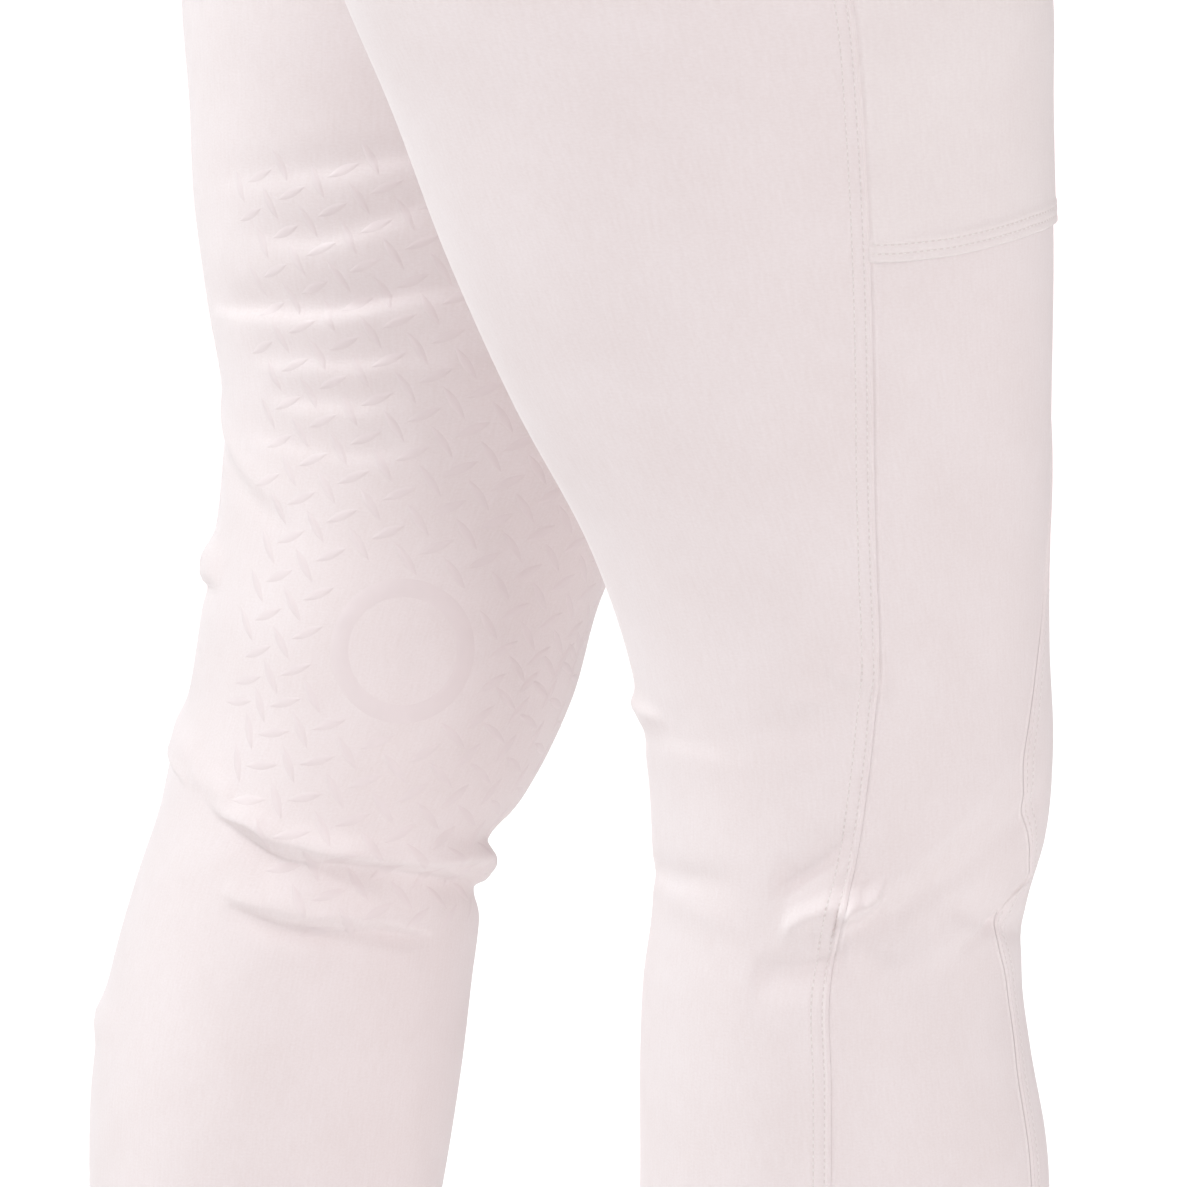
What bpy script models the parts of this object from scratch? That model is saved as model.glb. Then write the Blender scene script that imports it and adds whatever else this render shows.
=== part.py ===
"""Riding leggings, worn and walking: stretch cloth panels round two hollow legs, with a waistband.

Metres, +Z up, the front faces -Y and the wearer's left is +X. The origin is the middle of the
waistband's ring. The garment's skin is worked out from level sections of each leg and of the
hips, run together into one smooth form, and the panels are cut from it along their seam lines.
"""
import math

import bpy
import numpy as np

RIGHT, LEFT = -1, 1  # the wearer's sides, as signs of X

# The cloth
WALL = 0.0015  # wall of a leg panel
POCKET_WALL = 0.0012
BAND_WALL = 0.0022  # the waistband is doubled
SEAM_GAP = 0.0003  # between the pieces that a seam joins
LIE_GAP = 0.0003  # between a panel and what lies on it

# Heights
WAIST_TOP = 0.035
WAIST_SEAM = -0.035
POCKET_MOUTH = -0.165
HEM = -0.925

# Level sections of the legs, from the hem up. Above the crotch they fill out the hips.
# height, forward and out: the section's middle; half_depth runs forward, half_width sideways.
RIGHT_LEG = (
    # height, forward, out, half_depth, half_width
    (-0.940, 0.087, 0.062, 0.0405, 0.0365),
    (-0.925, 0.086, 0.062, 0.0410, 0.0370),
    (-0.860, 0.082, 0.063, 0.0440, 0.0390),
    (-0.800, 0.077, 0.064, 0.0530, 0.0450),
    (-0.740, 0.072, 0.066, 0.0635, 0.0520),
    (-0.690, 0.069, 0.068, 0.0690, 0.0565),
    (-0.657, 0.068, 0.069, 0.0685, 0.0570),
    (-0.623, 0.065, 0.071, 0.0655, 0.0560),
    (-0.600, 0.064, 0.072, 0.0635, 0.0550),
    (-0.575, 0.066, 0.073, 0.0625, 0.0545),
    (-0.550, 0.069, 0.075, 0.0658, 0.0550),
    (-0.520, 0.069, 0.076, 0.0680, 0.0560),
    (-0.487, 0.065, 0.077, 0.0705, 0.0580),
    (-0.454, 0.059, 0.079, 0.0760, 0.0610),
    (-0.404, 0.046, 0.082, 0.0890, 0.0665),
    (-0.354, 0.035, 0.086, 0.1000, 0.0730),
    (-0.304, 0.025, 0.089, 0.1085, 0.0775),
    (-0.272, 0.018, 0.091, 0.1150, 0.0800),
    (-0.235, 0.009, 0.092, 0.1195, 0.0815),
    (-0.200, -0.001, 0.091, 0.1210, 0.0840),
    (-0.160, -0.008, 0.089, 0.1215, 0.0860),
    (-0.120, -0.010, 0.085, 0.1160, 0.0820),
    (-0.080, -0.008, 0.080, 0.1050, 0.0750),
    (-0.035, -0.003, 0.070, 0.0900, 0.0640),
    (0.000, 0.000, 0.062, 0.0840, 0.0580),
    (0.050, 0.000, 0.060, 0.0820, 0.0560),
)
LEFT_LEG = (
    # height, forward, out, half_depth, half_width
    (-0.940, -0.155, 0.060, 0.0405, 0.0365),
    (-0.925, -0.153, 0.060, 0.0410, 0.0370),
    (-0.860, -0.147, 0.061, 0.0440, 0.0390),
    (-0.800, -0.142, 0.063, 0.0510, 0.0450),
    (-0.750, -0.137, 0.065, 0.0575, 0.0510),
    (-0.707, -0.133, 0.067, 0.0625, 0.0545),
    (-0.657, -0.128, 0.069, 0.0655, 0.0565),
    (-0.620, -0.122, 0.071, 0.0640, 0.0555),
    (-0.590, -0.115, 0.072, 0.0622, 0.0542),
    (-0.567, -0.106, 0.073, 0.0635, 0.0545),
    (-0.549, -0.099, 0.075, 0.0665, 0.0552),
    (-0.530, -0.092, 0.076, 0.0680, 0.0560),
    (-0.495, -0.084, 0.077, 0.0700, 0.0585),
    (-0.459, -0.073, 0.079, 0.0750, 0.0610),
    (-0.424, -0.064, 0.081, 0.0825, 0.0650),
    (-0.388, -0.061, 0.083, 0.0910, 0.0690),
    (-0.353, -0.058, 0.086, 0.0985, 0.0730),
    (-0.318, -0.052, 0.088, 0.1060, 0.0765),
    (-0.283, -0.048, 0.090, 0.1125, 0.0795),
    (-0.250, -0.042, 0.092, 0.1180, 0.0810),
    (-0.200, -0.030, 0.091, 0.1220, 0.0840),
    (-0.160, -0.020, 0.089, 0.1215, 0.0860),
    (-0.120, -0.014, 0.085, 0.1160, 0.0820),
    (-0.080, -0.010, 0.080, 0.1050, 0.0750),
    (-0.035, -0.003, 0.070, 0.0900, 0.0640),
    (0.000, 0.000, 0.062, 0.0840, 0.0580),
    (0.050, 0.000, 0.060, 0.0820, 0.0560),
)
LEGS = {RIGHT: RIGHT_LEG, LEFT: LEFT_LEG}
# Level sections of the trunk, which joins the legs above the crotch
TRUNK = (
    # height, forward, half_depth, half_width
    (-0.215, -0.012, 0.0020, 0.0020),
    (-0.200, -0.012, 0.0300, 0.0400),
    (-0.180, -0.012, 0.0680, 0.0900),
    (-0.155, -0.012, 0.0980, 0.1350),
    (-0.120, -0.010, 0.1150, 0.1600),
    (-0.080, -0.006, 0.1130, 0.1560),
    (-0.035, -0.002, 0.1040, 0.1430),
    (0.000, 0.000, 0.1005, 0.1370),
    (0.050, 0.000, 0.0995, 0.1350),
)
TRUNK_BLEND = 0.030  # how far the trunk and the legs run into each other
# How far the two legs run into each other
LEG_BLEND = (
    # height, blend
    (-0.340, 0.000),
    (-0.300, 0.008),
    (-0.260, 0.024),
    (-0.225, 0.044),
    (-0.180, 0.070),
    (-0.120, 0.085),
    (0.050, 0.085),
)

# Seam lines, as degrees round a leg: 0 is the outer side, 90 the front, 180 the inner side
SIDE_SEAM = (
    # height, degrees
    (-0.940, -7.0),
    (-0.700, -6.0),
    (-0.654, -4.8),
    (-0.625, -2.8),
    (-0.584, -2.3),
    (-0.569, -1.2),
    (-0.548, 0.7),
    (-0.527, 3.0),
    (-0.507, 5.9),
    (-0.486, 9.6),
    (-0.455, 12.5),
    (-0.396, 19.1),
    (-0.350, 22.2),
    (-0.310, 24.0),
    (-0.266, 25.0),
    (-0.200, 23.0),
    (-0.120, 15.0),
    (-0.035, 6.0),
    (0.050, 4.0),
)
FORWARD_SEAM = (
    # height, degrees; it ends at the crotch
    (-0.940, 62.0),
    (-0.700, 63.0),
    (-0.661, 63.5),
    (-0.632, 64.0),
    (-0.604, 63.0),
    (-0.588, 60.0),
    (-0.575, 55.0),
    (-0.562, 70.0),
    (-0.549, 67.0),
    (-0.534, 61.3),
    (-0.520, 59.3),
    (-0.502, 63.0),
    (-0.482, 69.6),
    (-0.450, 79.0),
    (-0.410, 94.0),
    (-0.360, 115.0),
    (-0.310, 139.0),
    (-0.262, 163.0),
)

# The largest folds that the walking pose puts in the cloth, as ridges (rise above 0) and troughs
FOLDS = (
    # side, height and middle: the fold's centre; lean: its climb for each degree round the leg;
    # reach: half its length in degrees; width: half its breadth; rise
    (LEFT, -0.5725, 0.00022, 160.0, 105.0, 0.0060, 0.0030),
    (LEFT, -0.5860, 0.00020, 160.0, 100.0, 0.0048, -0.0030),
    (LEFT, -0.5950, 0.00017, 178.0, 48.0, 0.0045, 0.0014),
    (LEFT, -0.6040, 0.00017, 170.0, 48.0, 0.0045, -0.0020),
    (LEFT, -0.3800, -0.00017, 200.0, 68.0, 0.0062, -0.0024),
    (LEFT, -0.3530, -0.00030, 196.0, 50.0, 0.0062, -0.0018),
    (LEFT, -0.3320, -0.00022, 198.0, 55.0, 0.0062, -0.0016),
    (LEFT, -0.4380, 0.00060, 252.0, 36.0, 0.0050, 0.0024),
    (LEFT, -0.4490, 0.00055, 244.0, 38.0, 0.0048, -0.0018),
    (LEFT, -0.4790, 0.00000, 266.0, 20.0, 0.0060, 0.0036),
    (LEFT, -0.5400, 0.00030, 262.0, 28.0, 0.0060, 0.0020),
    (LEFT, -0.6420, 0.00000, 264.0, 24.0, 0.0070, 0.0024),
    (RIGHT, -0.5620, 0.00010, 286.0, 45.0, 0.0050, -0.0022),
    (RIGHT, -0.5090, 0.00000, 276.0, 24.0, 0.0050, 0.0022),
    (RIGHT, -0.5760, -0.00030, 62.0, 34.0, 0.0050, -0.0024),
)

# The pocket on the right thigh runs forward from the side seam
POCKET_HEM = -0.3530
POCKET_HEM_RISE = 0.0075  # how far its lower edge climbs to the front
POCKET_RISE_REACH = 0.030  # the panel's rows level out again over this height
POCKET_FRONT_EDGE = 108.0  # degrees round the leg
POCKET_SHARE = 0.8  # of the front panel's width that the pocket takes at most

# How finely the panels are divided: more rows where there are folds
ROWS = {
    # from, to, rows
    RIGHT: ((HEM, -0.610, 11), (-0.610, -0.545, 9), (-0.545, POCKET_HEM, 9)),
    LEFT: ((HEM, -0.620, 11), (-0.620, -0.555, 13), (-0.555, -0.395, 12), (-0.395, -0.320, 12)),
}
ROWS_TO_CROTCH = 6
CROTCH_REACH = 0.040  # the rows close up over this height below the crotch
ROWS_ABOVE = 11
POCKET_COLUMNS = 5  # of the front panel's columns, from the side seam
FRONT_COLUMNS = 8
BACK_COLUMNS = 18
BAND_COLUMNS = 36
BAND_ROWS = 3

CLOTH_COLOUR = (0.82, 0.75, 0.74)
BAND_COLOUR = (0.80, 0.73, 0.72)


def read(table, height):
    """The columns of a table at the given heights, on a smooth curve through its rows."""
    rows = np.array(table)
    at, columns = rows[:, 0], rows[:, 1:]
    slopes = np.gradient(columns, at, axis=0)
    height = np.clip(height, at[0], at[-1])
    i = np.clip(np.searchsorted(at, height) - 1, 0, len(at) - 2)
    span = (at[i + 1] - at[i])[:, None]
    t = (height[:, None] - at[i][:, None]) / span
    start, end = (1 + 2 * t) * (1 - t) ** 2, t * t * (3 - 2 * t)
    leave, arrive = t * (1 - t) ** 2 * span, t * t * (t - 1) * span
    return (start * columns[i] + end * columns[i + 1] + leave * slopes[i] + arrive * slopes[i + 1]).T


def from_ellipse(across, along, half_width, half_depth):
    """About how far a point lies outside an ellipse."""
    reach = np.hypot(across / half_width, along / half_depth)
    slope = np.hypot(across / half_width**2, along / half_depth**2)
    return reach * (reach - 1) / np.maximum(slope, 1e-9)


def run_together(first, second, blend):
    """The nearer of two surfaces, with the corner between them rounded out."""
    blend = np.maximum(blend, 1e-9)
    overlap = np.maximum(blend - np.abs(first - second), 0) / blend
    return np.minimum(first, second) - overlap**2 * blend / 4


def fold_rise(side, degrees, height):
    """How far the folds lift the cloth of one leg, or press it in."""
    rise = np.zeros_like(height)
    for fold_side, at, lean, middle, reach, width, lift in FOLDS:
        if fold_side != side:
            continue
        turn = (degrees - middle + 180) % 360 - 180
        along = np.clip(turn / reach, -1, 1)
        off = (height - at - lean * turn) / width
        rise = rise + lift * (1 - along**4) ** 2 * np.exp(-(off**2))
    return rise


def from_skin(across, forward, height):
    """About how far points lie outside the garment's skin; across is X, forward is -Y."""
    legs = []
    for side in (RIGHT, LEFT):
        middle, out, half_depth, half_width = read(LEGS[side], height)
        sideways, along = side * across - out, forward - middle
        degrees = np.degrees(np.arctan2(along / half_depth, sideways / half_width))
        leg = from_ellipse(sideways, along, half_width, half_depth)
        legs.append(leg - fold_rise(side, degrees, height))
    both = run_together(legs[0], legs[1], read(LEG_BLEND, height)[0])
    middle, half_depth, half_width = read(TRUNK, height)
    trunk = from_ellipse(across, forward - middle, half_width, half_depth)
    trunk = trunk + np.maximum(TRUNK[0][0] - height, 0)
    return run_together(both, trunk, TRUNK_BLEND)


def walk_out(start, step, height):
    """The points where straight level walks from start, in units of step, leave the skin."""
    inside, outside = np.zeros(len(height)), np.full(len(height), 2.5)
    found = np.zeros(len(height), bool)
    for reach in np.linspace(0.04, 2.5, 83):
        point = start + reach * step
        out = from_skin(point[:, 0], point[:, 1], height) > 0
        outside = np.where(out & ~found, reach, outside)
        inside = np.where(~out & ~found, reach, inside)
        found |= out
    for _ in range(24):
        reach = (inside + outside) / 2
        point = start + reach[:, None] * step
        out = from_skin(point[:, 0], point[:, 1], height) > 0
        outside, inside = np.where(out, reach, outside), np.where(out, inside, reach)
    return start + outside[:, None] * step


def on_leg(side, degrees, height):
    """Points of the skin (X, forward) at places round a leg."""
    middle, out, half_depth, half_width = read(LEGS[side], height)
    turn = np.radians(degrees)
    start = np.stack([side * out, middle], axis=1)
    step = np.stack([side * half_width * np.cos(turn), half_depth * np.sin(turn)], axis=1)
    return walk_out(start, step, height)


def on_middle(side, front, height):
    """Points (X, forward) of the skin beside the centre front or back seam, above the crotch."""
    tries = np.linspace(-0.08, 0.08, 81)
    across = np.full((len(height), len(tries)), side * SEAM_GAP / 2)
    level = np.repeat(height[:, None], len(tries), axis=1)
    depth = from_skin(across.ravel(), np.tile(tries, len(height)), level.ravel())
    start_at = tries[np.argmin(depth.reshape(level.shape), axis=1)]
    start = np.stack([across[:, 0], start_at], axis=1)
    step = np.array([0.0, 0.1 if front else -0.1])
    return walk_out(start, np.repeat(step[None], len(height), axis=0), height)


def crotch():
    """The crotch point's place forward and its height: where the two legs first meet."""
    tries = np.linspace(-0.08, 0.08, 321)
    low, high = -0.26, -0.15
    for _ in range(30):
        height = (low + high) / 2
        depth = from_skin(np.zeros(len(tries)), tries, np.full(len(tries), height))
        if depth.min() > 0:
            low = height
        else:
            high = height
    return float(tries[np.argmin(depth)]), high


def degrees_round(side, point, height):
    """The place round a leg, in degrees from 0 to 360, of points (X, forward)."""
    middle, out, half_depth, half_width = read(LEGS[side], height)
    across = (side * point[:, 0] - out) / half_width
    return np.degrees(np.arctan2((point[:, 1] - middle) / half_depth, across)) % 360


def seam_degrees(table, side, height):
    """A seam line's place round a leg; the forward seam runs up into the crotch."""
    rows = list(table)
    if table is FORWARD_SEAM:
        at = np.array([[0.0, CROTCH_FORWARD]])
        rows.append((CROTCH_HEIGHT, float(degrees_round(side, at, np.array([CROTCH_HEIGHT]))[0])))
    return read(rows, height)[0]


def gap_degrees(side, degrees, height):
    """Half a seam gap, as degrees round a leg; it is longer where the seam line leans."""
    _, _, half_depth, half_width = read(LEGS[side], height)
    turn = np.radians(degrees)
    radius = np.hypot(half_width * np.sin(turn), half_depth * np.cos(turn))
    lean = radius * np.gradient(turn, height)
    return np.degrees(SEAM_GAP / 2 * np.hypot(1, lean) / radius)


def row_heights(side):
    """The heights of a leg panel's rows, from the hem to the waist seam, closer at the crotch."""
    below = [np.linspace(low, high, rows, endpoint=False) for low, high, rows in ROWS[side]]
    start = ROWS[side][-1][1]
    plain = np.linspace(start, CROTCH_HEIGHT - CROTCH_REACH, ROWS_TO_CROTCH // 2, endpoint=False)
    near = CROTCH_HEIGHT - CROTCH_REACH * np.linspace(1, 0, ROWS_TO_CROTCH + 1) ** 2
    top = WAIST_SEAM - SEAM_GAP / 2
    above = CROTCH_HEIGHT + (top - CROTCH_HEIGHT) * np.linspace(0, 1, ROWS_ABOVE + 1)[1:] ** 2
    return np.concatenate([*below, plain, near, above])


def normals(points):
    """The directions straight out of the skin at points (X, forward, height)."""
    small = 0.0004
    slope = []
    for axis in range(3):
        shift = np.zeros(3)
        shift[axis] = small
        ahead, behind = points + shift, points - shift
        slope.append(from_skin(*ahead.T) - from_skin(*behind.T))
    slope = np.stack(slope, axis=1)
    return slope / np.linalg.norm(slope, axis=1, keepdims=True)


def panel_rows(side, front, height):
    """A leg panel's points on the skin, row by row: from the side seam to its other edge."""
    at_side = seam_degrees(SIDE_SEAM, side, height)
    at_side = at_side + (1 if front else -1) * gap_degrees(side, at_side, height)
    below = height <= CROTCH_HEIGHT
    at_end = seam_degrees(FORWARD_SEAM, side, np.minimum(height, CROTCH_HEIGHT))
    at_end = at_end + (-1 if front else 1) * gap_degrees(side, at_end, height)
    middle = on_middle(side, front, np.maximum(height, CROTCH_HEIGHT + 1e-6))
    at_end = np.where(below, at_end, degrees_round(side, middle, height))
    climb = np.zeros_like(height)
    if front:
        # The pocket's front edge follows a column, so that the pocket can lie on the panel
        edge = np.minimum(at_side + (at_end - at_side) * POCKET_SHARE, POCKET_FRONT_EDGE)
        climb = POCKET_HEM_RISE * np.exp(-(((height - POCKET_HEM) / POCKET_RISE_REACH) ** 2))
        rest = FRONT_COLUMNS - POCKET_COLUMNS
        shares = [(i / POCKET_COLUMNS, 0.0) for i in range(POCKET_COLUMNS)]
        shares += [(1.0, i / rest) for i in range(rest + 1)]
    else:
        edge, at_end = at_end - 360, at_end - 360
        shares = [(i / BACK_COLUMNS, 0.0) for i in range(BACK_COLUMNS + 1)]
    lines = []
    for to_edge, past_edge in shares:
        degrees = at_side + (edge - at_side) * to_edge + (at_end - edge) * past_edge
        # Rows climb to the pocket's front edge and come down again past it
        level = height + climb * to_edge * (1 - past_edge)
        points = on_leg(side, degrees, level)
        if past_edge == 1 or not front and to_edge == 1:
            points = np.where(below[:, None], points, middle)
        points[:, 0] = side * np.maximum(side * points[:, 0], SEAM_GAP / 2)
        lines.append(np.concatenate([points, level[:, None]], axis=1))
    return np.stack(lines, axis=1)


def moved_out(grid, distance):
    """A grid of skin points, moved straight out of the skin."""
    flat = grid.reshape(-1, 3)
    return (flat + distance * normals(flat)).reshape(grid.shape)


def wall_inside(skin, wall):
    """The inner side of a wall of cloth, with its top and bottom rims kept level."""
    inner = moved_out(skin, -wall)
    inner[0, :, 2] = skin[0, :, 2]
    inner[-1, :, 2] = skin[-1, :, 2]
    return inner


def cloth_object(name, outer, inner, material, closed=False):
    """A wall of cloth between two grids of points, as one closed body."""
    rows, columns = outer.shape[:2]
    points = np.concatenate([outer.reshape(-1, 3), inner.reshape(-1, 3)])
    # From (X, forward, height) to the part's axes
    points = points * np.array([1.0, -1.0, 1.0])
    layer = rows * columns
    across = columns if closed else columns - 1

    def corner(row, column, under=0):
        return under * layer + row * columns + column % columns

    faces = []
    for row in range(rows - 1):
        for column in range(across):
            low = (corner(row, column), corner(row, column + 1))
            high = (corner(row + 1, column), corner(row + 1, column + 1))
            for face in ((low[0], low[1], high[1]), (low[0], high[1], high[0])):
                faces.append(face)
                faces.append(tuple(layer + i for i in reversed(face)))
    for column in range(across):
        for row, turned in ((0, False), (rows - 1, True)):
            rim = [corner(row, column + 1), corner(row, column)]
            rim += [corner(row, column, 1), corner(row, column + 1, 1)]
            faces.append(tuple(rim[::-1] if turned else rim))
    if not closed:
        for row in range(rows - 1):
            for column, turned in ((0, False), (columns - 1, True)):
                rim = [corner(row, column), corner(row + 1, column)]
                rim += [corner(row + 1, column, 1), corner(row, column, 1)]
                faces.append(tuple(rim[::-1] if turned else rim))
    mesh = bpy.data.meshes.new(name)
    mesh.from_pydata(points.tolist(), [], faces)
    mesh.update()
    face_out(mesh)
    mesh.shade_smooth()
    mesh.set_sharp_from_angle(angle=math.radians(40))
    mesh.materials.append(material)
    cloth = bpy.data.objects.new(name, mesh)
    garment.objects.link(cloth)
    return cloth


def face_out(mesh):
    """Turns a closed mesh's faces over if they point in."""
    volume = 0.0
    for face in mesh.polygons:
        first = mesh.vertices[face.vertices[0]].co
        for second, third in zip(face.vertices[1:-1], face.vertices[2:]):
            volume += first.dot(mesh.vertices[second].co.cross(mesh.vertices[third].co)) / 6
    if volume < 0:
        mesh.flip_normals()


def cloth_material(name, colour, roughness):
    """A matt stretch cloth."""
    material = bpy.data.materials.new(name)
    material.use_nodes = True
    surface = material.node_tree.nodes["Principled BSDF"]
    surface.inputs["Base Color"].default_value = (*colour, 1.0)
    surface.inputs["Roughness"].default_value = roughness
    surface.inputs["Metallic"].default_value = 0.0
    surface.inputs["Sheen Weight"].default_value = 0.2
    return material


def leg_panel(name, side, front):
    """One leg panel, from the hem to the waist seam."""
    skin = panel_rows(side, front, row_heights(side))
    material = cloth_material(name + "_knit", CLOTH_COLOUR, 0.75)
    return cloth_object(name, skin, wall_inside(skin, WALL), material)


def waistband():
    """The doubled band round the waist, open at the top and bottom."""
    height = np.linspace(WAIST_SEAM + SEAM_GAP / 2, WAIST_TOP, BAND_ROWS)
    rings = []
    for level in height:
        turn = np.linspace(0, 2 * math.pi, BAND_COLUMNS, endpoint=False)
        levels = np.full(BAND_COLUMNS, level)
        step = np.stack([0.15 * np.cos(turn), 0.15 * np.sin(turn)], axis=1)
        ring = walk_out(np.zeros_like(step), step, levels)
        rings.append(np.concatenate([ring, levels[:, None]], axis=1))
    skin = np.stack(rings)
    material = cloth_material("waistband_knit", BAND_COLOUR, 0.7)
    return cloth_object("waistband", skin, wall_inside(skin, BAND_WALL), material, closed=True)


def pocket():
    """The patch pocket on the right thigh, moved out from the front panel's points."""
    height = row_heights(RIGHT)
    panel = panel_rows(RIGHT, True, height)
    on_it = (height >= POCKET_HEM) & (height <= POCKET_MOUTH)
    skin = panel[on_it, : POCKET_COLUMNS + 1]
    inner = moved_out(skin, LIE_GAP)
    outer = moved_out(skin, LIE_GAP + POCKET_WALL)
    return cloth_object("pocket_right", outer, inner, cloth_material("pocket_knit", CLOTH_COLOUR, 0.75))


for old in list(bpy.data.objects):
    bpy.data.objects.remove(old)
garment = bpy.data.collections.new("riding_leggings")
bpy.context.scene.collection.children.link(garment)
CROTCH_FORWARD, CROTCH_HEIGHT = crotch()

leg_panel("front_right", RIGHT, front=True)
leg_panel("back_right", RIGHT, front=False)
leg_panel("front_left", LEFT, front=True)
leg_panel("back_left", LEFT, front=False)
pocket()
waistband()
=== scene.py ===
"""Riding leggings in off-white stretch knit, worn and walking: the cloth, the sewing and the grip print.

Metres, +Z up, the front faces -Y and the wearer's left is +X. Points are worked out as
(X, forward, height), where forward is -Y, and turned to the frame's axes when a mesh is made.
"""
import math

import bpy
import numpy as np
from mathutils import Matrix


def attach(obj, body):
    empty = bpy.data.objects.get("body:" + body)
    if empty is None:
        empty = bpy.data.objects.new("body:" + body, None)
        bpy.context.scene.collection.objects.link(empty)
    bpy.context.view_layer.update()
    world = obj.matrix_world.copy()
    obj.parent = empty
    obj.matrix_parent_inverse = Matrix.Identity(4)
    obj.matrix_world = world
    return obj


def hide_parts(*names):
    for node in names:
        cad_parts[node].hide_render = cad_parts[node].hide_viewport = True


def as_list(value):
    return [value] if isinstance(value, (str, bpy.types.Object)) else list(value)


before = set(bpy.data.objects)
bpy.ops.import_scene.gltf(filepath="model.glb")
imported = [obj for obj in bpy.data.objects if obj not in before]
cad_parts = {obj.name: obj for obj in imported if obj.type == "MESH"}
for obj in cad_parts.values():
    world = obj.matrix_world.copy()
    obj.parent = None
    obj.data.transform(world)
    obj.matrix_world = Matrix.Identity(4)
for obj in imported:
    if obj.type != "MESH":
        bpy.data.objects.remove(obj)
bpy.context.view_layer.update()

# --- Camera -------------------------------------------------------------------------------
# A long lens 2.5 m from the near knee, a little above it, looking at the wearer's right side.
CAMERA_AT = (-2.54086, 0.01633, -0.10070)
CAMERA_DOWN = 8.5  # degrees below level
LENS_MM, SENSOR_MM = 227.66, 36.0
SEES_TO = 60.0

scene = bpy.context.scene
camera = bpy.data.objects.new("camera", bpy.data.cameras.new("camera"))
camera.data.sensor_width = SENSOR_MM
camera.data.sensor_fit = "HORIZONTAL"
camera.data.lens = LENS_MM
camera.data.clip_end = SEES_TO
camera.location = CAMERA_AT
camera.rotation_euler = (math.radians(90 - CAMERA_DOWN), 0.0, math.radians(-90))
scene.collection.objects.link(camera)
scene.camera = camera

# --- Studio -------------------------------------------------------------------------------
# A matt white floor below the hems, a lit white backdrop, a pale room, and soft lights.
FLOOR_HEIGHT = -1.0
FLOOR_SIZE = 7.0
PAPER_PATCHES = 3.0  # patches of tone across it


def linear(colour):
    """An sRGB hex colour as linear red, green, blue and alpha."""
    parts = [int(colour[i : i + 2], 16) / 255 for i in (1, 3, 5)]
    bent = [v / 12.92 if v <= 0.04045 else ((v + 0.055) / 1.055) ** 2.4 for v in parts]
    return (*bent, 1.0)


def node(tree, kind, inputs=None, **settings):
    """Adds a node with its settings; an input is a number, a colour or another node's output."""
    made = tree.nodes.new(kind)
    for key, value in settings.items():
        setattr(made, key, value)
    for key, value in (inputs or {}).items():
        if isinstance(value, bpy.types.NodeSocket):
            tree.links.new(value, made.inputs[key])
        else:
            made.inputs[key].default_value = value
    return made


def new_material(name):
    """An empty node material: its tree and its Principled shader."""
    material = bpy.data.materials.new(name)
    material.use_nodes = True
    return material, material.node_tree, material.node_tree.nodes["Principled BSDF"]


def two_tones(tree, surface, blend, first, second):
    """Makes a shader's colour wander between two sRGB tones with a node's output."""
    tone = node(tree, "ShaderNodeMix", {"Factor": blend}, data_type="RGBA")
    tone.inputs[6].default_value = linear(first)
    tone.inputs[7].default_value = linear(second)
    tree.links.new(tone.outputs[2], surface.inputs["Base Color"])


# Seamless studio paper, dead matt: a white ground with only soft shadows, as in a cut-out
paper, tree, surface = new_material("matt_white_studio_paper")
grain = node(tree, "ShaderNodeTexNoise", {"Scale": PAPER_PATCHES, "Detail": 2.0})
two_tones(tree, surface, grain.outputs["Fac"], "#FDFCFB", "#F8F7F6")
surface.inputs["Roughness"].default_value = 0.95

half = FLOOR_SIZE / 2
mesh = bpy.data.meshes.new("floor")
corners = [(-half, -half), (half, -half), (half, half), (-half, half)]
mesh.from_pydata([(x, y, FLOOR_HEIGHT) for x, y in corners], [], [(0, 1, 2, 3)])
mesh.materials.append(paper)
floor = bpy.data.objects.new("floor", mesh)
scene.collection.objects.link(floor)

# The room is brightest behind the camera; the backdrop is white where the camera looks.
# Places in it are the X of a direction, -1 behind the camera and +1 straight ahead.
ROOM_NEAR, ROOM_FAR, BACKDROP = 0.58, 0.16, 1.20
ROOM_FROM, ROOM_TO, CARD_FROM = -0.9, 0.9, 0.95
world = bpy.data.worlds.new("studio_room")
scene.world = world
world.use_nodes = True
tree = world.node_tree
where = node(tree, "ShaderNodeTexCoord")
split = node(tree, "ShaderNodeSeparateXYZ", {"Vector": where.outputs["Generated"]})
room = node(tree, "ShaderNodeMapRange", {
    "Value": split.outputs["X"], "From Min": ROOM_FROM, "From Max": ROOM_TO,
    "To Min": ROOM_NEAR, "To Max": ROOM_FAR}, interpolation_type="SMOOTHSTEP")
card = node(tree, "ShaderNodeMath", {0: split.outputs["X"], 1: CARD_FROM}, operation="GREATER_THAN")
lit = node(tree, "ShaderNodeMix", {"Factor": card.outputs[0], 2: room.outputs["Result"], 3: BACKDROP})
tree.links.new(lit.outputs[0], tree.nodes["Background"].inputs["Strength"])
tree.nodes["Background"].inputs["Color"].default_value = linear("#FFF6F7")

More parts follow.
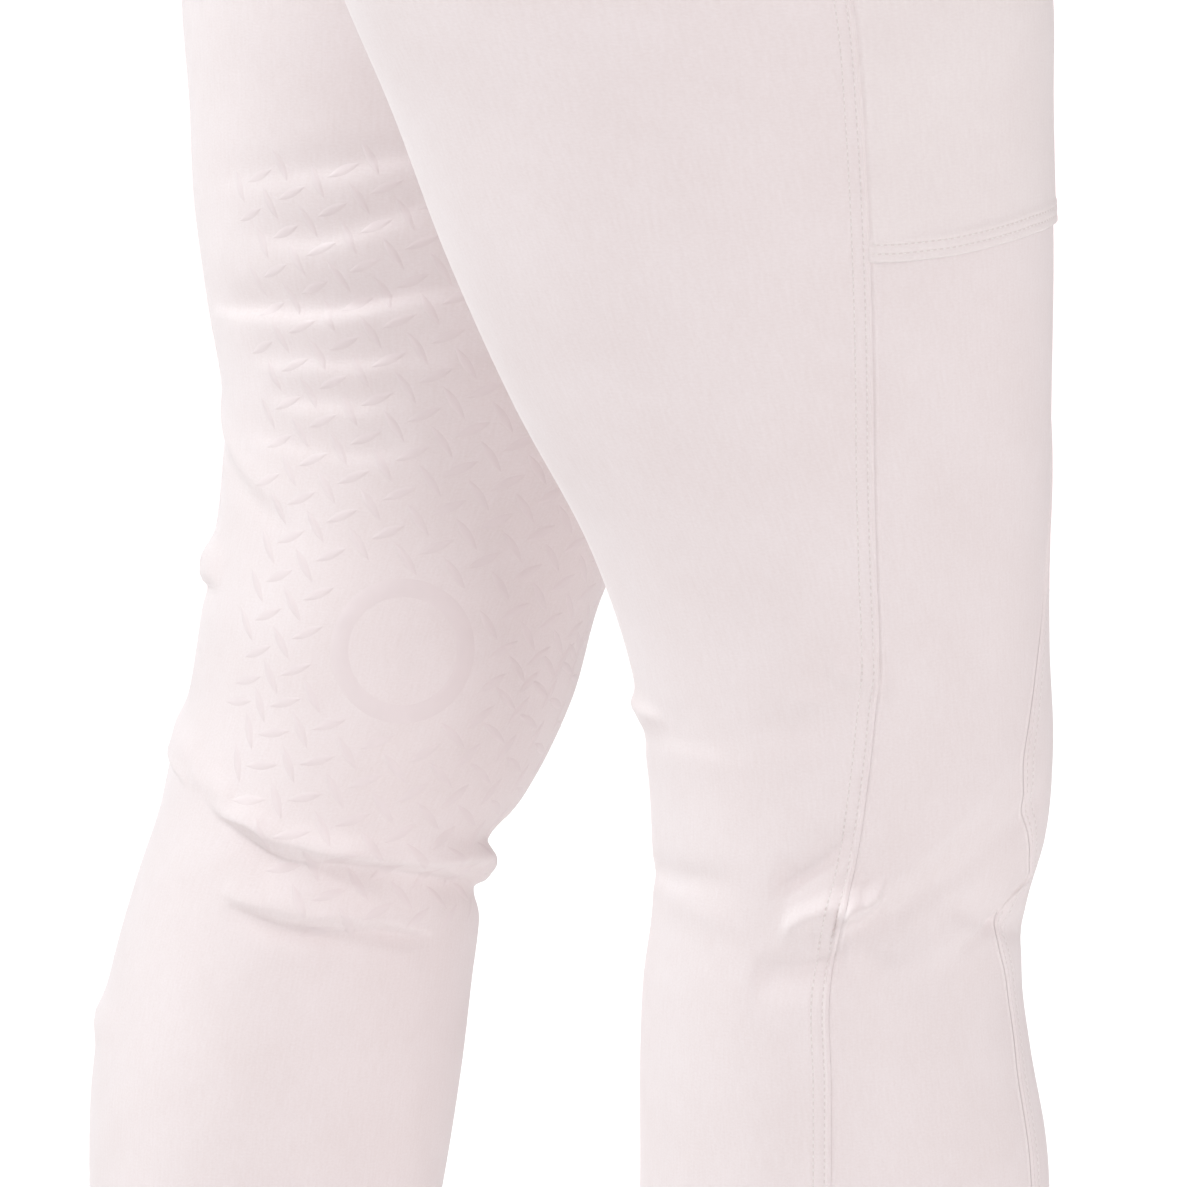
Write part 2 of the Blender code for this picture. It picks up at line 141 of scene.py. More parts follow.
KNEES = (0.0, 0.0, -0.45)  # most lights are aimed here, between the legs
LIGHTS = (
    # name, place, aimed at, width, height, watts, colour
    ("back_left", (0.2, 2.3, 1.9), KNEES, 1.2, 1.2, 53.0, "#F0FEFF"),
    ("high_left", (-1.3, 2.1, 2.0), KNEES, 0.7, 0.7, 30.0, "#FAFDFF"),
    ("key_right", (-2.6, -1.3, 0.1), KNEES, 1.0, 1.0, 18.0, "#F8FEFF"),
    ("front_low", (-0.6, -2.7, -0.2), KNEES, 1.6, 1.6, 11.0, "#FFFFFF"),
    ("over_backdrop_floor", (2.6, 0.0, 0.6), (2.6001, 0.0, -1.0), 2.6, 3.4, 50.0, "#F8FCFF"),
)
for name, place, aim, width, height, watts, colour in LIGHTS:
    lamp = bpy.data.lights.new(name, "AREA")
    lamp.shape = "RECTANGLE"
    lamp.size, lamp.size_y = width, height
    lamp.energy = watts
    lamp.color = linear(colour)[:3]
    light = bpy.data.objects.new(name, lamp)
    light.location = place
    along = np.array(aim) - np.array(place)
    flat_run = math.hypot(along[0], along[1])
    light.rotation_euler = (math.atan2(flat_run, -along[2]), 0.0, math.atan2(-along[0], along[1]))
    scene.collection.objects.link(light)
scene.view_settings.view_transform = "Standard"

# --- Leg panels ---------------------------------------------------------------------------
# Four panels of warp-knitted polyamide and elastane, one layer, cut to the leg and sewn edge
# to edge. Worn, they stretch round the legs; behind and above the knees they fold.
RIGHT, LEFT = -1, 1
WAIST_TOP, WAIST_SEAM, HEM = 0.035, -0.035, -0.925
HEM_TURN, HEM_ROWS = 0.020, (0.016, 0.020)  # turned up inside, and sewn, this far above its fold
CLOTH = 0.0008  # real thickness of the cloth
TO_FRAME = np.array([1.0, -1.0, 1.0])  # from (X, forward, height) to the frame's axes

# Level sections of the legs and the trunk, as in the solids
RIGHT_LEG = (
    # height, forward, out, half_depth, half_width
    (-0.940, 0.087, 0.062, 0.0405, 0.0365), (-0.925, 0.086, 0.062, 0.0410, 0.0370),
    (-0.860, 0.082, 0.063, 0.0440, 0.0390), (-0.800, 0.077, 0.064, 0.0530, 0.0450),
    (-0.740, 0.072, 0.066, 0.0635, 0.0520), (-0.690, 0.069, 0.068, 0.0690, 0.0565),
    (-0.657, 0.068, 0.069, 0.0685, 0.0570), (-0.623, 0.065, 0.071, 0.0655, 0.0560),
    (-0.600, 0.064, 0.072, 0.0635, 0.0550), (-0.575, 0.066, 0.073, 0.0625, 0.0545),
    (-0.550, 0.069, 0.075, 0.0658, 0.0550), (-0.520, 0.069, 0.076, 0.0680, 0.0560),
    (-0.487, 0.065, 0.077, 0.0705, 0.0580), (-0.454, 0.059, 0.079, 0.0760, 0.0610),
    (-0.404, 0.046, 0.082, 0.0890, 0.0665), (-0.354, 0.035, 0.086, 0.1000, 0.0730),
    (-0.304, 0.025, 0.089, 0.1085, 0.0775), (-0.272, 0.018, 0.091, 0.1150, 0.0800),
    (-0.235, 0.009, 0.092, 0.1195, 0.0815), (-0.200, -0.001, 0.091, 0.1210, 0.0840),
    (-0.160, -0.008, 0.089, 0.1215, 0.0860), (-0.120, -0.010, 0.085, 0.1160, 0.0820),
    (-0.080, -0.008, 0.080, 0.1050, 0.0750), (-0.035, -0.003, 0.070, 0.0900, 0.0640),
    (0.000, 0.000, 0.062, 0.0840, 0.0580), (0.050, 0.000, 0.060, 0.0820, 0.0560),
)
LEFT_LEG = (
    # height, forward, out, half_depth, half_width
    (-0.940, -0.155, 0.060, 0.0405, 0.0365), (-0.925, -0.153, 0.060, 0.0410, 0.0370),
    (-0.860, -0.147, 0.061, 0.0440, 0.0390), (-0.800, -0.142, 0.063, 0.0510, 0.0450),
    (-0.750, -0.137, 0.065, 0.0575, 0.0510), (-0.707, -0.133, 0.067, 0.0625, 0.0545),
    (-0.657, -0.128, 0.069, 0.0655, 0.0565), (-0.620, -0.122, 0.071, 0.0640, 0.0555),
    (-0.590, -0.115, 0.072, 0.0622, 0.0542), (-0.567, -0.106, 0.073, 0.0635, 0.0545),
    (-0.549, -0.099, 0.075, 0.0665, 0.0552), (-0.530, -0.092, 0.076, 0.0680, 0.0560),
    (-0.495, -0.084, 0.077, 0.0700, 0.0585), (-0.459, -0.073, 0.079, 0.0750, 0.0610),
    (-0.424, -0.064, 0.081, 0.0825, 0.0650), (-0.388, -0.061, 0.083, 0.0910, 0.0690),
    (-0.353, -0.058, 0.086, 0.0985, 0.0730), (-0.318, -0.052, 0.088, 0.1060, 0.0765),
    (-0.283, -0.048, 0.090, 0.1125, 0.0795), (-0.250, -0.042, 0.092, 0.1180, 0.0810),
    (-0.200, -0.030, 0.091, 0.1220, 0.0840), (-0.160, -0.020, 0.089, 0.1215, 0.0860),
    (-0.120, -0.014, 0.085, 0.1160, 0.0820), (-0.080, -0.010, 0.080, 0.1050, 0.0750),
    (-0.035, -0.003, 0.070, 0.0900, 0.0640), (0.000, 0.000, 0.062, 0.0840, 0.0580),
    (0.050, 0.000, 0.060, 0.0820, 0.0560),
)
LEGS = {RIGHT: RIGHT_LEG, LEFT: LEFT_LEG}
TRUNK = (
    # height, forward, half_depth, half_width
    (-0.215, -0.012, 0.0020, 0.0020), (-0.200, -0.012, 0.0300, 0.0400),
    (-0.180, -0.012, 0.0680, 0.0900), (-0.155, -0.012, 0.0980, 0.1350),
    (-0.120, -0.010, 0.1150, 0.1600), (-0.080, -0.006, 0.1130, 0.1560),
    (-0.035, -0.002, 0.1040, 0.1430), (0.000, 0.000, 0.1005, 0.1370),
    (0.050, 0.000, 0.0995, 0.1350),
)
TRUNK_BLEND = 0.030
LEG_BLEND = (
    # height, blend
    (-0.340, 0.000), (-0.300, 0.008), (-0.260, 0.024), (-0.225, 0.044), (-0.180, 0.070),
    (-0.120, 0.085), (0.050, 0.085),
)
# Seam lines, as degrees round a leg: 0 is the outer side, 90 the front, 180 the inner side
SIDE_SEAM = (
    # height, degrees
    (-0.940, -7.0), (-0.700, -6.0), (-0.654, -4.8), (-0.625, -2.8), (-0.584, -2.3),
    (-0.569, -1.2), (-0.548, 0.7), (-0.527, 3.0), (-0.507, 5.9), (-0.486, 9.6), (-0.455, 12.5),
    (-0.396, 19.1), (-0.350, 22.2), (-0.310, 24.0), (-0.266, 25.0), (-0.200, 23.0),
    (-0.120, 15.0), (-0.035, 6.0), (0.050, 4.0),
)
FORWARD_SEAM = (
    # height, degrees; it ends at the crotch
    (-0.940, 62.0), (-0.700, 63.0), (-0.661, 63.5), (-0.632, 64.5), (-0.606, 65.5),
    (-0.592, 62.4), (-0.5847, 58.6), (-0.5801, 57.2), (-0.5731, 58.2), (-0.5693, 58.0),
    (-0.5664, 60.6), (-0.5625, 69.0),
    (-0.5552, 66.1), (-0.5406, 59.4), (-0.5266, 56.1), (-0.5198, 56.0), (-0.5069, 59.9),
    (-0.4941, 64.8), (-0.482, 69.2), (-0.450, 79.0), (-0.410, 94.0), (-0.360, 115.0),
    (-0.310, 139.0), (-0.262, 163.0),
)
CROTCH_FORWARD, CROTCH_HEIGHT = -0.0125, -0.2332

# The folds of the walking pose that are in the solids too
FOLDS = (
    # side, height and middle of the fold; lean: its climb for each degree round the leg;
    # reach: half its length in degrees; breadth; rise: outward, or inward if negative
    (LEFT, -0.3800, -0.00017, 200.0, 50.0, 0.0062, -0.0010),
    (LEFT, -0.3530, -0.00030, 196.0, 50.0, 0.0062, -0.0006),
    (LEFT, -0.3320, -0.00022, 198.0, 55.0, 0.0062, -0.0005),
    (LEFT, -0.4380, 0.00060, 252.0, 36.0, 0.0050, 0.0012),
    (LEFT, -0.4490, 0.00055, 244.0, 38.0, 0.0048, -0.0007),
    (LEFT, -0.4790, 0.00000, 266.0, 20.0, 0.0060, 0.0036),
    (LEFT, -0.5400, 0.00030, 262.0, 28.0, 0.0060, 0.0020),
    (LEFT, -0.6420, 0.00000, 264.0, 24.0, 0.0070, 0.0024),
    (RIGHT, -0.5620, 0.00010, 286.0, 45.0, 0.0050, -0.0014),
    (RIGHT, -0.5090, 0.00000, 276.0, 24.0, 0.0050, 0.0022),
    (RIGHT, -0.5760, -0.00030, 62.0, 34.0, 0.0050, -0.0024),
)
# The finer ridges and creases over them: the line each one follows round the leg, as degrees and
# height, its breadth above and below that line, and its rise
CREASES = (
    # The roll below the left knee with its sharp crease, and the notch over its end at the front
    (LEFT, ((96, -0.5834), (112, -0.5822), (122, -0.5810), (141, -0.5793), (156, -0.5775),
            (172, -0.5750), (186, -0.5725), (196, -0.5702), (207, -0.5656), (217, -0.5626),
            (232, -0.5560)), 0.0056, 0.0020, 0.0038),
    (LEFT, ((40, -0.5990), (84, -0.5965), (95, -0.5950), (105, -0.5928), (117, -0.5897), (130, -0.5868),
            (144, -0.5836), (160, -0.5802), (174, -0.5788), (187, -0.5778), (198, -0.5760),
            (206, -0.5716), (213, -0.5684), (228, -0.5620)), 0.0014, 0.0070, -0.0036),
    (LEFT, ((24, -0.5800), (84, -0.5798), (95, -0.5788), (104, -0.5770), (117, -0.5738), (128, -0.5725)),
     0.0090, 0.0036, -0.0048),
    (LEFT, ((40, -0.5890), (84, -0.5886), (95, -0.5878), (104, -0.5862), (117, -0.5826), (128, -0.5812)),
     0.0042, 0.0034, 0.0016),
    # The smaller roll under it
    (LEFT, ((140, -0.6010), (160, -0.5975), (178, -0.5960), (196, -0.5925), (212, -0.5880)),
     0.0050, 0.0024, 0.0020),
    (LEFT, ((128, -0.6080), (139, -0.6058), (148, -0.6032), (160, -0.6022), (170, -0.6019),
            (180, -0.6007), (190, -0.5988), (198, -0.5965), (208, -0.5925)), 0.0012, 0.0050, -0.0024),
    # Sagging folds behind the left thigh: each sinks slowly to its crease and swells below it
    (LEFT, ((174, -0.3280), (196, -0.3310), (217, -0.3380), (246, -0.3430)), 0.0090, 0.0040, -0.0007),
    (LEFT, ((180, -0.3350), (198, -0.3380), (220, -0.3440), (244, -0.3480)), 0.0044, 0.0060, 0.0003),
    (LEFT, ((176, -0.3420), (193, -0.3490), (207, -0.3590), (236, -0.3600)), 0.0090, 0.0036, -0.0009),
    (LEFT, ((184, -0.3520), (198, -0.3590), (212, -0.3655), (238, -0.3660)), 0.0044, 0.0060, 0.0004),
    (LEFT, ((174, -0.3742), (184, -0.3764), (195, -0.3790), (209, -0.3845), (229, -0.3865),
            (262, -0.3880)), 0.0090, 0.0028, -0.0020),
    (LEFT, ((180, -0.3820), (198, -0.3860), (212, -0.3905), (230, -0.3920), (254, -0.3930)),
     0.0040, 0.0060, 0.0006),
    (LEFT, ((180, -0.3985), (198, -0.4010), (214, -0.4025), (240, -0.4035)), 0.0080, 0.0032, -0.0011),
    (LEFT, ((190, -0.4060), (214, -0.4080), (236, -0.4090)), 0.0044, 0.0050, 0.0005),
    (LEFT, ((190, -0.4150), (212, -0.4175), (234, -0.4160)), 0.0070, 0.0032, -0.0009),
    (LEFT, ((194, -0.4215), (214, -0.4230), (232, -0.4220)), 0.0044, 0.0050, 0.0004),
    (LEFT, ((188, -0.4330), (206, -0.4345), (222, -0.4330), (246, -0.4290)), 0.0080, 0.0032, -0.0010),
    (LEFT, ((216, -0.4560), (232, -0.4545), (252, -0.4460), (266, -0.4390)), 0.0040, 0.0060, -0.0004),
    # Small rolls on the back outline of the left leg, sharp below
    (LEFT, ((246, -0.4845), (264, -0.4850), (290, -0.4850)), 0.0040, 0.0014, 0.0016),
    (LEFT, ((248, -0.4890), (266, -0.4885), (290, -0.4890)), 0.0012, 0.0050, -0.0010),
    (LEFT, ((238, -0.5560), (256, -0.5490), (286, -0.5450)), 0.0040, 0.0014, 0.0014),
    (LEFT, ((216, -0.5560), (228, -0.5535), (240, -0.5500)), 0.0050, 0.0040, 0.0014),
    # The right knee: pinches beside the side seam
    (RIGHT, ((-20, -0.5732), (-16, -0.5716), (-12, -0.5690), (-9, -0.5672), (-5, -0.5654),
             (-2, -0.5646), (4, -0.5622)), 0.0052, 0.0048, 0.0044),
    (RIGHT, ((-3, -0.5692), (3, -0.5650), (10, -0.5600)), 0.0048, 0.0034, 0.0060),
    (RIGHT, ((1, -0.5722), (6, -0.5684), (12, -0.5655)), 0.0022, 0.0050, -0.0010),
    (RIGHT, ((-4.5, -0.5745), (-2.5, -0.5700), (-0.4, -0.5640), (1.4, -0.5592)), 0.0024, 0.0024, -0.0008),
    (RIGHT, ((-24, -0.5580), (-15, -0.5535), (-11, -0.5505), (-8, -0.5480), (1, -0.5410)),
     0.0056, 0.0054, -0.0036),
    (RIGHT, ((-28, -0.5880), (-13, -0.5860), (-8, -0.5838), (-4, -0.5824), (2, -0.5800)),
     0.0040, 0.0084, -0.0032),
    (RIGHT, ((-4, -0.4870), (3, -0.4875), (10, -0.4865)), 0.0060, 0.0050, 0.0018),
    (RIGHT, ((-16, -0.4970), (-8, -0.4955), (-2, -0.4950)), 0.0040, 0.0030, 0.0010),
    (RIGHT, ((-28, -0.5060), (-14, -0.5060), (0, -0.5040)), 0.0060, 0.0050, -0.0010),
    # Soft slanting folds from the front of the knee down to the pinches
    (RIGHT, ((-2, -0.5700), (4, -0.5640), (14, -0.5525), (25, -0.5415), (38, -0.5292), (54, -0.5150)),
     0.0070, 0.0060, 0.0017),
    (RIGHT, ((4, -0.5720), (26, -0.5590), (52, -0.5410), (74, -0.5300)), 0.0050, 0.0060, -0.0014),
    (RIGHT, ((8, -0.5900), (24, -0.5830), (44, -0.5720), (62, -0.5600)), 0.0070, 0.0060, 0.0010),
    (RIGHT, ((38, -0.5812), (45, -0.5785), (52, -0.5752), (58, -0.5715), (63, -0.5685)),
     0.0014, 0.0034, -0.0012),
    # Behind the right knee
    (RIGHT, ((252, -0.5060), (272, -0.5065), (300, -0.5080)), 0.0040, 0.0014, 0.0012),
    (RIGHT, ((262, -0.5190), (284, -0.5130), (306, -0.5120), (336, -0.5140)), 0.0110, 0.0050, -0.0007),
    (RIGHT, ((266, -0.5260), (290, -0.5190), (326, -0.5190)), 0.0040, 0.0080, 0.0005),
    (RIGHT, ((262, -0.5640), (284, -0.5660), (310, -0.5700), (334, -0.5760)), 0.0050, 0.0060, 0.0007),
)


def read(table, height):
    """The columns of a table at the given heights, on a smooth curve through its rows."""
    rows = np.array(table)
    at, columns = rows[:, 0], rows[:, 1:]
    slopes = np.gradient(columns, at, axis=0)
    height = np.clip(height, at[0], at[-1])
    i = np.clip(np.searchsorted(at, height) - 1, 0, len(at) - 2)
    span = (at[i + 1] - at[i])[..., None]
    t = (height - at[i])[..., None] / span
    start, end = (1 + 2 * t) * (1 - t) ** 2, t * t * (3 - 2 * t)
    leave, arrive = t * (1 - t) ** 2 * span, t * t * (t - 1) * span
    found = start * columns[i] + end * columns[i + 1] + leave * slopes[i] + arrive * slopes[i + 1]
    return np.moveaxis(found, -1, 0)


def from_ellipse(across, along, half_width, half_depth):
    """About how far a point lies outside an ellipse."""
    reach = np.hypot(across / half_width, along / half_depth)
    slope = np.hypot(across / half_width**2, along / half_depth**2)
    return reach * (reach - 1) / np.maximum(slope, 1e-9)


def run_together(first, second, blend):
    """The nearer of two surfaces, with the corner between them rounded out."""
    blend = np.maximum(blend, 1e-9)
    overlap = np.maximum(blend - np.abs(first - second), 0) / blend
    return np.minimum(first, second) - overlap**2 * blend / 4


# A fold wanders a little from its straight line, in two slow waves; a crease also wanders, and
# is a little higher here and lower there
FOLD_WAVE, FOLD_RIPPLE, CREASE_WAVE, CREASE_UNEVEN = 0.0007, 0.0004, 0.0003, 0.18


def fold_rise(side, degrees, height):
    """How far the folds lift the cloth of one leg, or press it in."""
    rise = np.zeros(np.broadcast(degrees, height).shape)
    for number, (fold_side, at, lean, middle, reach, breadth, lift) in enumerate(FOLDS):
        if fold_side != side:
            continue
        turn = (degrees - middle + 180) % 360 - 180
        along = np.clip(turn / reach, -1, 1)
        wander = FOLD_WAVE * np.sin(turn * 0.11 + number * 1.7)
        wander = wander + FOLD_RIPPLE * np.sin(turn * 0.27 + number)
        off = (height - at - lean * turn - wander) / breadth
        rise += lift * (1 - along**4) ** 2 * np.exp(-(off**2))
    for number, (fold_side, line, above, below, lift) in enumerate(CREASES):
        if fold_side != side:
            continue
        middle, reach = (line[0][0] + line[-1][0]) / 2, (line[-1][0] - line[0][0]) / 2
        turn = (degrees - middle + 180) % 360 - 180
        along = np.clip(turn / reach, -1, 1)
        uneven = 1 + CREASE_UNEVEN * np.sin(turn * 0.17 + number * 2.3)
        off = height - read(line, turn + middle)[0] - CREASE_WAVE * np.sin(turn * 0.31 + number)
        off = off / np.where(off > 0, above, below)
        rise += lift * uneven * (1 - along**6) ** 2 * np.exp(-(off**2))
    return rise


WALK_FROM, WALK_ROUNDS, WALK_SHARE = 0.5, 40, 0.9  # each round walks this share of what is left


def walk_out(start, step, height, rises=None):
    """The points where straight level walks from start, in units of step, leave the skin."""
    sections = {side: read(LEGS[side], height) for side in (RIGHT, LEFT)}
    leg_blend = read(LEG_BLEND, height)[0]
    trunk_at, trunk_depth, trunk_width = read(TRUNK, height)
    below_trunk = np.maximum(TRUNK[0][0] - height, 0)
    pace = np.hypot(*step)
    reach = np.full(np.broadcast(start[0], step[0], height).shape, WALK_FROM)
    for _ in range(WALK_ROUNDS):
        across, forward = start[0] + reach * step[0], start[1] + reach * step[1]
        legs = []
        for side, (middle, out, half_depth, half_width) in sections.items():
            leg = from_ellipse(side * across - out, forward - middle, half_width, half_depth)
            legs.append(leg - (rises[side] if rises and side in rises else 0.0))
        both = run_together(*legs, leg_blend)
        trunk = from_ellipse(across, forward - trunk_at, trunk_width, trunk_depth) + below_trunk
        reach = reach - WALK_SHARE * run_together(both, trunk, TRUNK_BLEND) / pace
    return start[0] + reach * step[0], start[1] + reach * step[1]


def on_leg(side, degrees, height):
    """Points (X, forward, height) of the skin at places round a leg, folds and all."""
    degrees, height = np.broadcast_arrays(degrees, height)
    middle, out, half_depth, half_width = read(LEGS[side], height)
    turn = np.radians(degrees)
    step = (side * half_width * np.cos(turn), half_depth * np.sin(turn))
    rises = {side: fold_rise(side, degrees, height)}
    across, forward = walk_out((side * out, middle), step, height, rises)
    return np.stack([across, forward, height], axis=-1)


def degrees_round(side, across, forward, height):
    """The place round a leg, in degrees from 0 to 360, of points (X, forward)."""
    middle, out, half_depth, half_width = read(LEGS[side], height)
    turn = np.arctan2((forward - middle) / half_depth, (side * across - out) / half_width)
    return np.degrees(turn) % 360


def on_middle(front, height):
    """Where the centre front or back seam lies forward, above the crotch."""
    start = (np.zeros_like(height), np.full_like(height, CROTCH_FORWARD))
    step = (np.zeros_like(height), np.full_like(height, 0.02 if front else -0.02))
    return walk_out(start, step, height)[1]


def seam_edges(side, front, height):
    """A panel's two edges in degrees round the leg: at the side seam, and at its other seam."""
    crotch = degrees_round(side, 0.0, CROTCH_FORWARD, np.array([CROTCH_HEIGHT]))[0]
    at_side = read(SIDE_SEAM, height)[0]
    forward = read(FORWARD_SEAM + ((CROTCH_HEIGHT, crotch),), np.minimum(height, CROTCH_HEIGHT))[0]
    level = np.maximum(height, CROTCH_HEIGHT + 1e-5)
    middle = degrees_round(side, np.zeros_like(level), on_middle(front, level), level)
    at_end = np.where(height <= CROTCH_HEIGHT, forward, middle)
    return at_side, at_end if front else at_end - 360


def outward(grid):
    """Directions square to the surface through a grid of points, all to the same side of it."""
    along_rows, along_columns = np.gradient(grid, axis=0), np.gradient(grid, axis=1)
    out = np.cross(along_columns, along_rows)
    return out / np.maximum(np.linalg.norm(out, axis=-1, keepdims=True), 1e-12)


def add_piece(name, mesh, material):
    """A mesh as a smooth piece of the scene."""
    mesh.shade_smooth()
    mesh.materials.append(material)
    piece = bpy.data.objects.new(name, mesh)
    scene.collection.objects.link(piece)
    return piece


def cloth_mesh(name, grid, uv, material):
    """A sheet of cloth through a grid of points (X, forward, height), facing out."""
    rows, columns = grid.shape[:2]
    points = grid.reshape(-1, 3) * TO_FRAME
    row, column = np.meshgrid(np.arange(rows - 1), np.arange(columns - 1), indexing="ij")
    low = row * columns + column
    quads = np.stack([low, low + 1, low + 1 + columns, low + columns], axis=-1).reshape(-1, 4)
    spread = np.stack([row, column], axis=-1).reshape(-1, 2)
    corners = np.stack([spread, spread + (0, 1), spread + (1, 1), spread + (1, 0)], axis=1)
    # Seen from above, the faces look away from the middle of the sheet, or they are turned over
    first = points[quads[:, 1]] - points[quads[:, 0]]
    second = points[quads[:, 3]] - points[quads[:, 0]]
    facing = np.cross(first, second) * (points[quads[:, 0]] - points.mean(0)) * (1, 1, 0)
    if facing.sum() < 0:
        quads, corners = quads[:, ::-1], corners[:, ::-1]
    mesh = bpy.data.meshes.new(name)
    mesh.from_pydata(points.tolist(), [], quads.tolist())
    layer = mesh.uv_layers.new(name="cloth")
    corners = corners.reshape(-1, 2)
    layer.data.foreach_set("uv", uv[corners[:, 0], corners[:, 1]].astype(np.float32).ravel())
    return add_piece(name, mesh, material)


# Warp knit: a matt, slightly brushed face with fine ribs along the leg, of about 0.7 mm in life
# and drawn a little coarser so that they show. It gives a faint upright grain and a soft pale
# rim where the brushed threads catch the light.
WALE = 0.0010  # pitch of the ribs
COURSE = 0.0080  # how long a rib keeps its tone
CLOUDS = 30.0  # broad changes of tone to a metre
RIB_HIGH = 0.00012


def knit_material(name, light, dark):
    """Off-white warp knit; the pattern lies in the cloth's own metres."""
    material, tree, surface = new_material(name)
    uv = node(tree, "ShaderNodeUVMap", uv_map="cloth")
    ribs = node(tree, "ShaderNodeMapping", {"Vector": uv.outputs["UV"],
                                            "Scale": (1 / WALE, 1 / COURSE, 1.0)})
    rib = node(tree, "ShaderNodeTexNoise", {"Vector": ribs.outputs["Vector"], "Scale": 1.0,
                                            "Detail": 3.0, "Roughness": 0.6})
    loops = node(tree, "ShaderNodeMapping", {"Vector": uv.outputs["UV"],
                                             "Scale": (0.9 / WALE, 1.4 / WALE, 1.0)})
    loop = node(tree, "ShaderNodeTexNoise", {"Vector": loops.outputs["Vector"], "Scale": 1.0,
                                             "Detail": 1.0})
    both = node(tree, "ShaderNodeMath", {0: rib.outputs["Fac"], 1: loop.outputs["Fac"]},
                operation="ADD")
    cloud = node(tree, "ShaderNodeTexNoise", {"Vector": uv.outputs["UV"], "Scale": CLOUDS, "Detail": 2.0})
    mixed = node(tree, "ShaderNodeMath", {0: both.outputs[0], 1: cloud.outputs["Fac"]},
                 operation="ADD")
    shade = node(tree, "ShaderNodeMapRange", {"Value": mixed.outputs[0], "From Min": 1.05,
                                              "From Max": 1.95})
    two_tones(tree, surface, shade.outputs["Result"], dark, light)
    bump = node(tree, "ShaderNodeBump", {"Height": both.outputs[0], "Strength": 0.35,
                                         "Distance": RIB_HIGH})
    tree.links.new(bump.outputs["Normal"], surface.inputs["Normal"])
    surface.inputs["Roughness"].default_value = 0.82
    surface.inputs["IOR"].default_value = 1.45
    surface.inputs["Specular IOR Level"].default_value = 0.25
    surface.inputs["Sheen Weight"].default_value = 0.20
    surface.inputs["Sheen Roughness"].default_value = 0.5
    return material


leg_knit = knit_material("off_white_warp_knit", "#EDE3E3", "#E7DBDA")

# The sewing along a seam: the back panel is lapped over the front one and held by two rows.
# Distances are from the lapped edge.
ROW_NEAR, ROW_FAR = 0.0021, 0.0059
ROW_WIDE, ROW_DEEP = 0.0005, 0.0002
LAP_RISE, LAP_ENDS = 0.0003, (0.0064, 0.0095)  # the allowance lifts the cloth as far as there
CORD_AT, CORD_WIDE, CORD_HIGH = 0.0011, 0.0007, 0.00044  # the turned edge stands up like a cord
SWELL_AT, SWELL_WIDE, SWELL_HIGH = 0.0010, 0.0006, 0.00036  # and so does the cloth beside it
TUCK, TUCK_DEEP = 0.0008, 0.0003  # the panel underneath reaches this far under the lap
# Points lie this far from an edge, closer together where it rises and is sewn
EDGE_STEPS = np.array([0, 0.2, 0.45, 0.75, 1.05, 1.4, 1.75, 2.1, 2.5, 3.0, 3.8, 4.7, 5.4, 5.9, 6.4,
                       7.0, 7.8, 8.8, 10.0]) / 1000


def smooth(value, low, high):
    """0 below low, 1 above high, and an even curve between."""
    t = np.clip((value - low) / (high - low), 0, 1)
    return t * t * (3 - 2 * t)


def bell(off, middle, breadth):
    """1 at the middle, falling to nothing on either side."""
    return np.exp(-(((off - middle) / breadth) ** 2))


def lapped_edge(off):
    """Rise of the panel on top, by the distance from its edge."""
    rise = LAP_RISE * (smooth(off, -0.0004, 0.0009) - smooth(off, *LAP_ENDS))
    rows = bell(off, ROW_NEAR, ROW_WIDE) + bell(off, ROW_FAR, ROW_WIDE)
    return rise + CORD_HIGH * bell(off, CORD_AT, CORD_WIDE) - ROW_DEEP * rows


def under_edge(off):
    """Rise of the panel underneath, which goes on under the lap and swells beside it."""
    return SWELL_HIGH * bell(off, SWELL_AT, SWELL_WIDE) - TUCK_DEEP * (1 - smooth(off, -TUCK, 0.0))


ROW_STEPS = {
    # The heights of a panel's rows, closer where it folds: from, to, spacing
    RIGHT: ((HEM, -0.700, 0.0040), (-0.700, -0.625, 0.0030), (-0.625, -0.535, 0.0009),
            (-0.535, -0.475, 0.0014), (-0.475, -0.320, 0.0030), (-0.320, WAIST_SEAM, 0.0040)),
    LEFT: ((HEM, -0.700, 0.0050), (-0.700, -0.612, 0.0040), (-0.612, -0.545, 0.0007),
           (-0.545, -0.450, 0.0021), (-0.450, -0.320, 0.0012), (-0.320, WAIST_SEAM, 0.0050)),
}
DITCH, DITCH_WIDE = 0.0005, 0.0015  # the panels sink by this much into the waist seam
PANEL_WIDTH = 0.075  # a leg's mean radius, for the cloth's own scale
PANEL_CUT = {
    # Width and length, and area, before the hem was turned and the panel was sewn and stretched
    ("front", RIGHT): ((0.280, 0.950), 0.096), ("front", LEFT): ((0.245, 0.950), 0.096),
    ("back", RIGHT): ((0.400, 0.950), 0.248), ("back", LEFT): ((0.400, 0.950), 0.248),
}


def metres_a_degree(side, degrees, height):
    """How much cloth one degree round the leg takes."""
    _, _, half_depth, half_width = read(LEGS[side], height)
    turn = np.radians(degrees)
    return np.hypot(half_width * np.sin(turn), half_depth * np.cos(turn)) * math.pi / 180


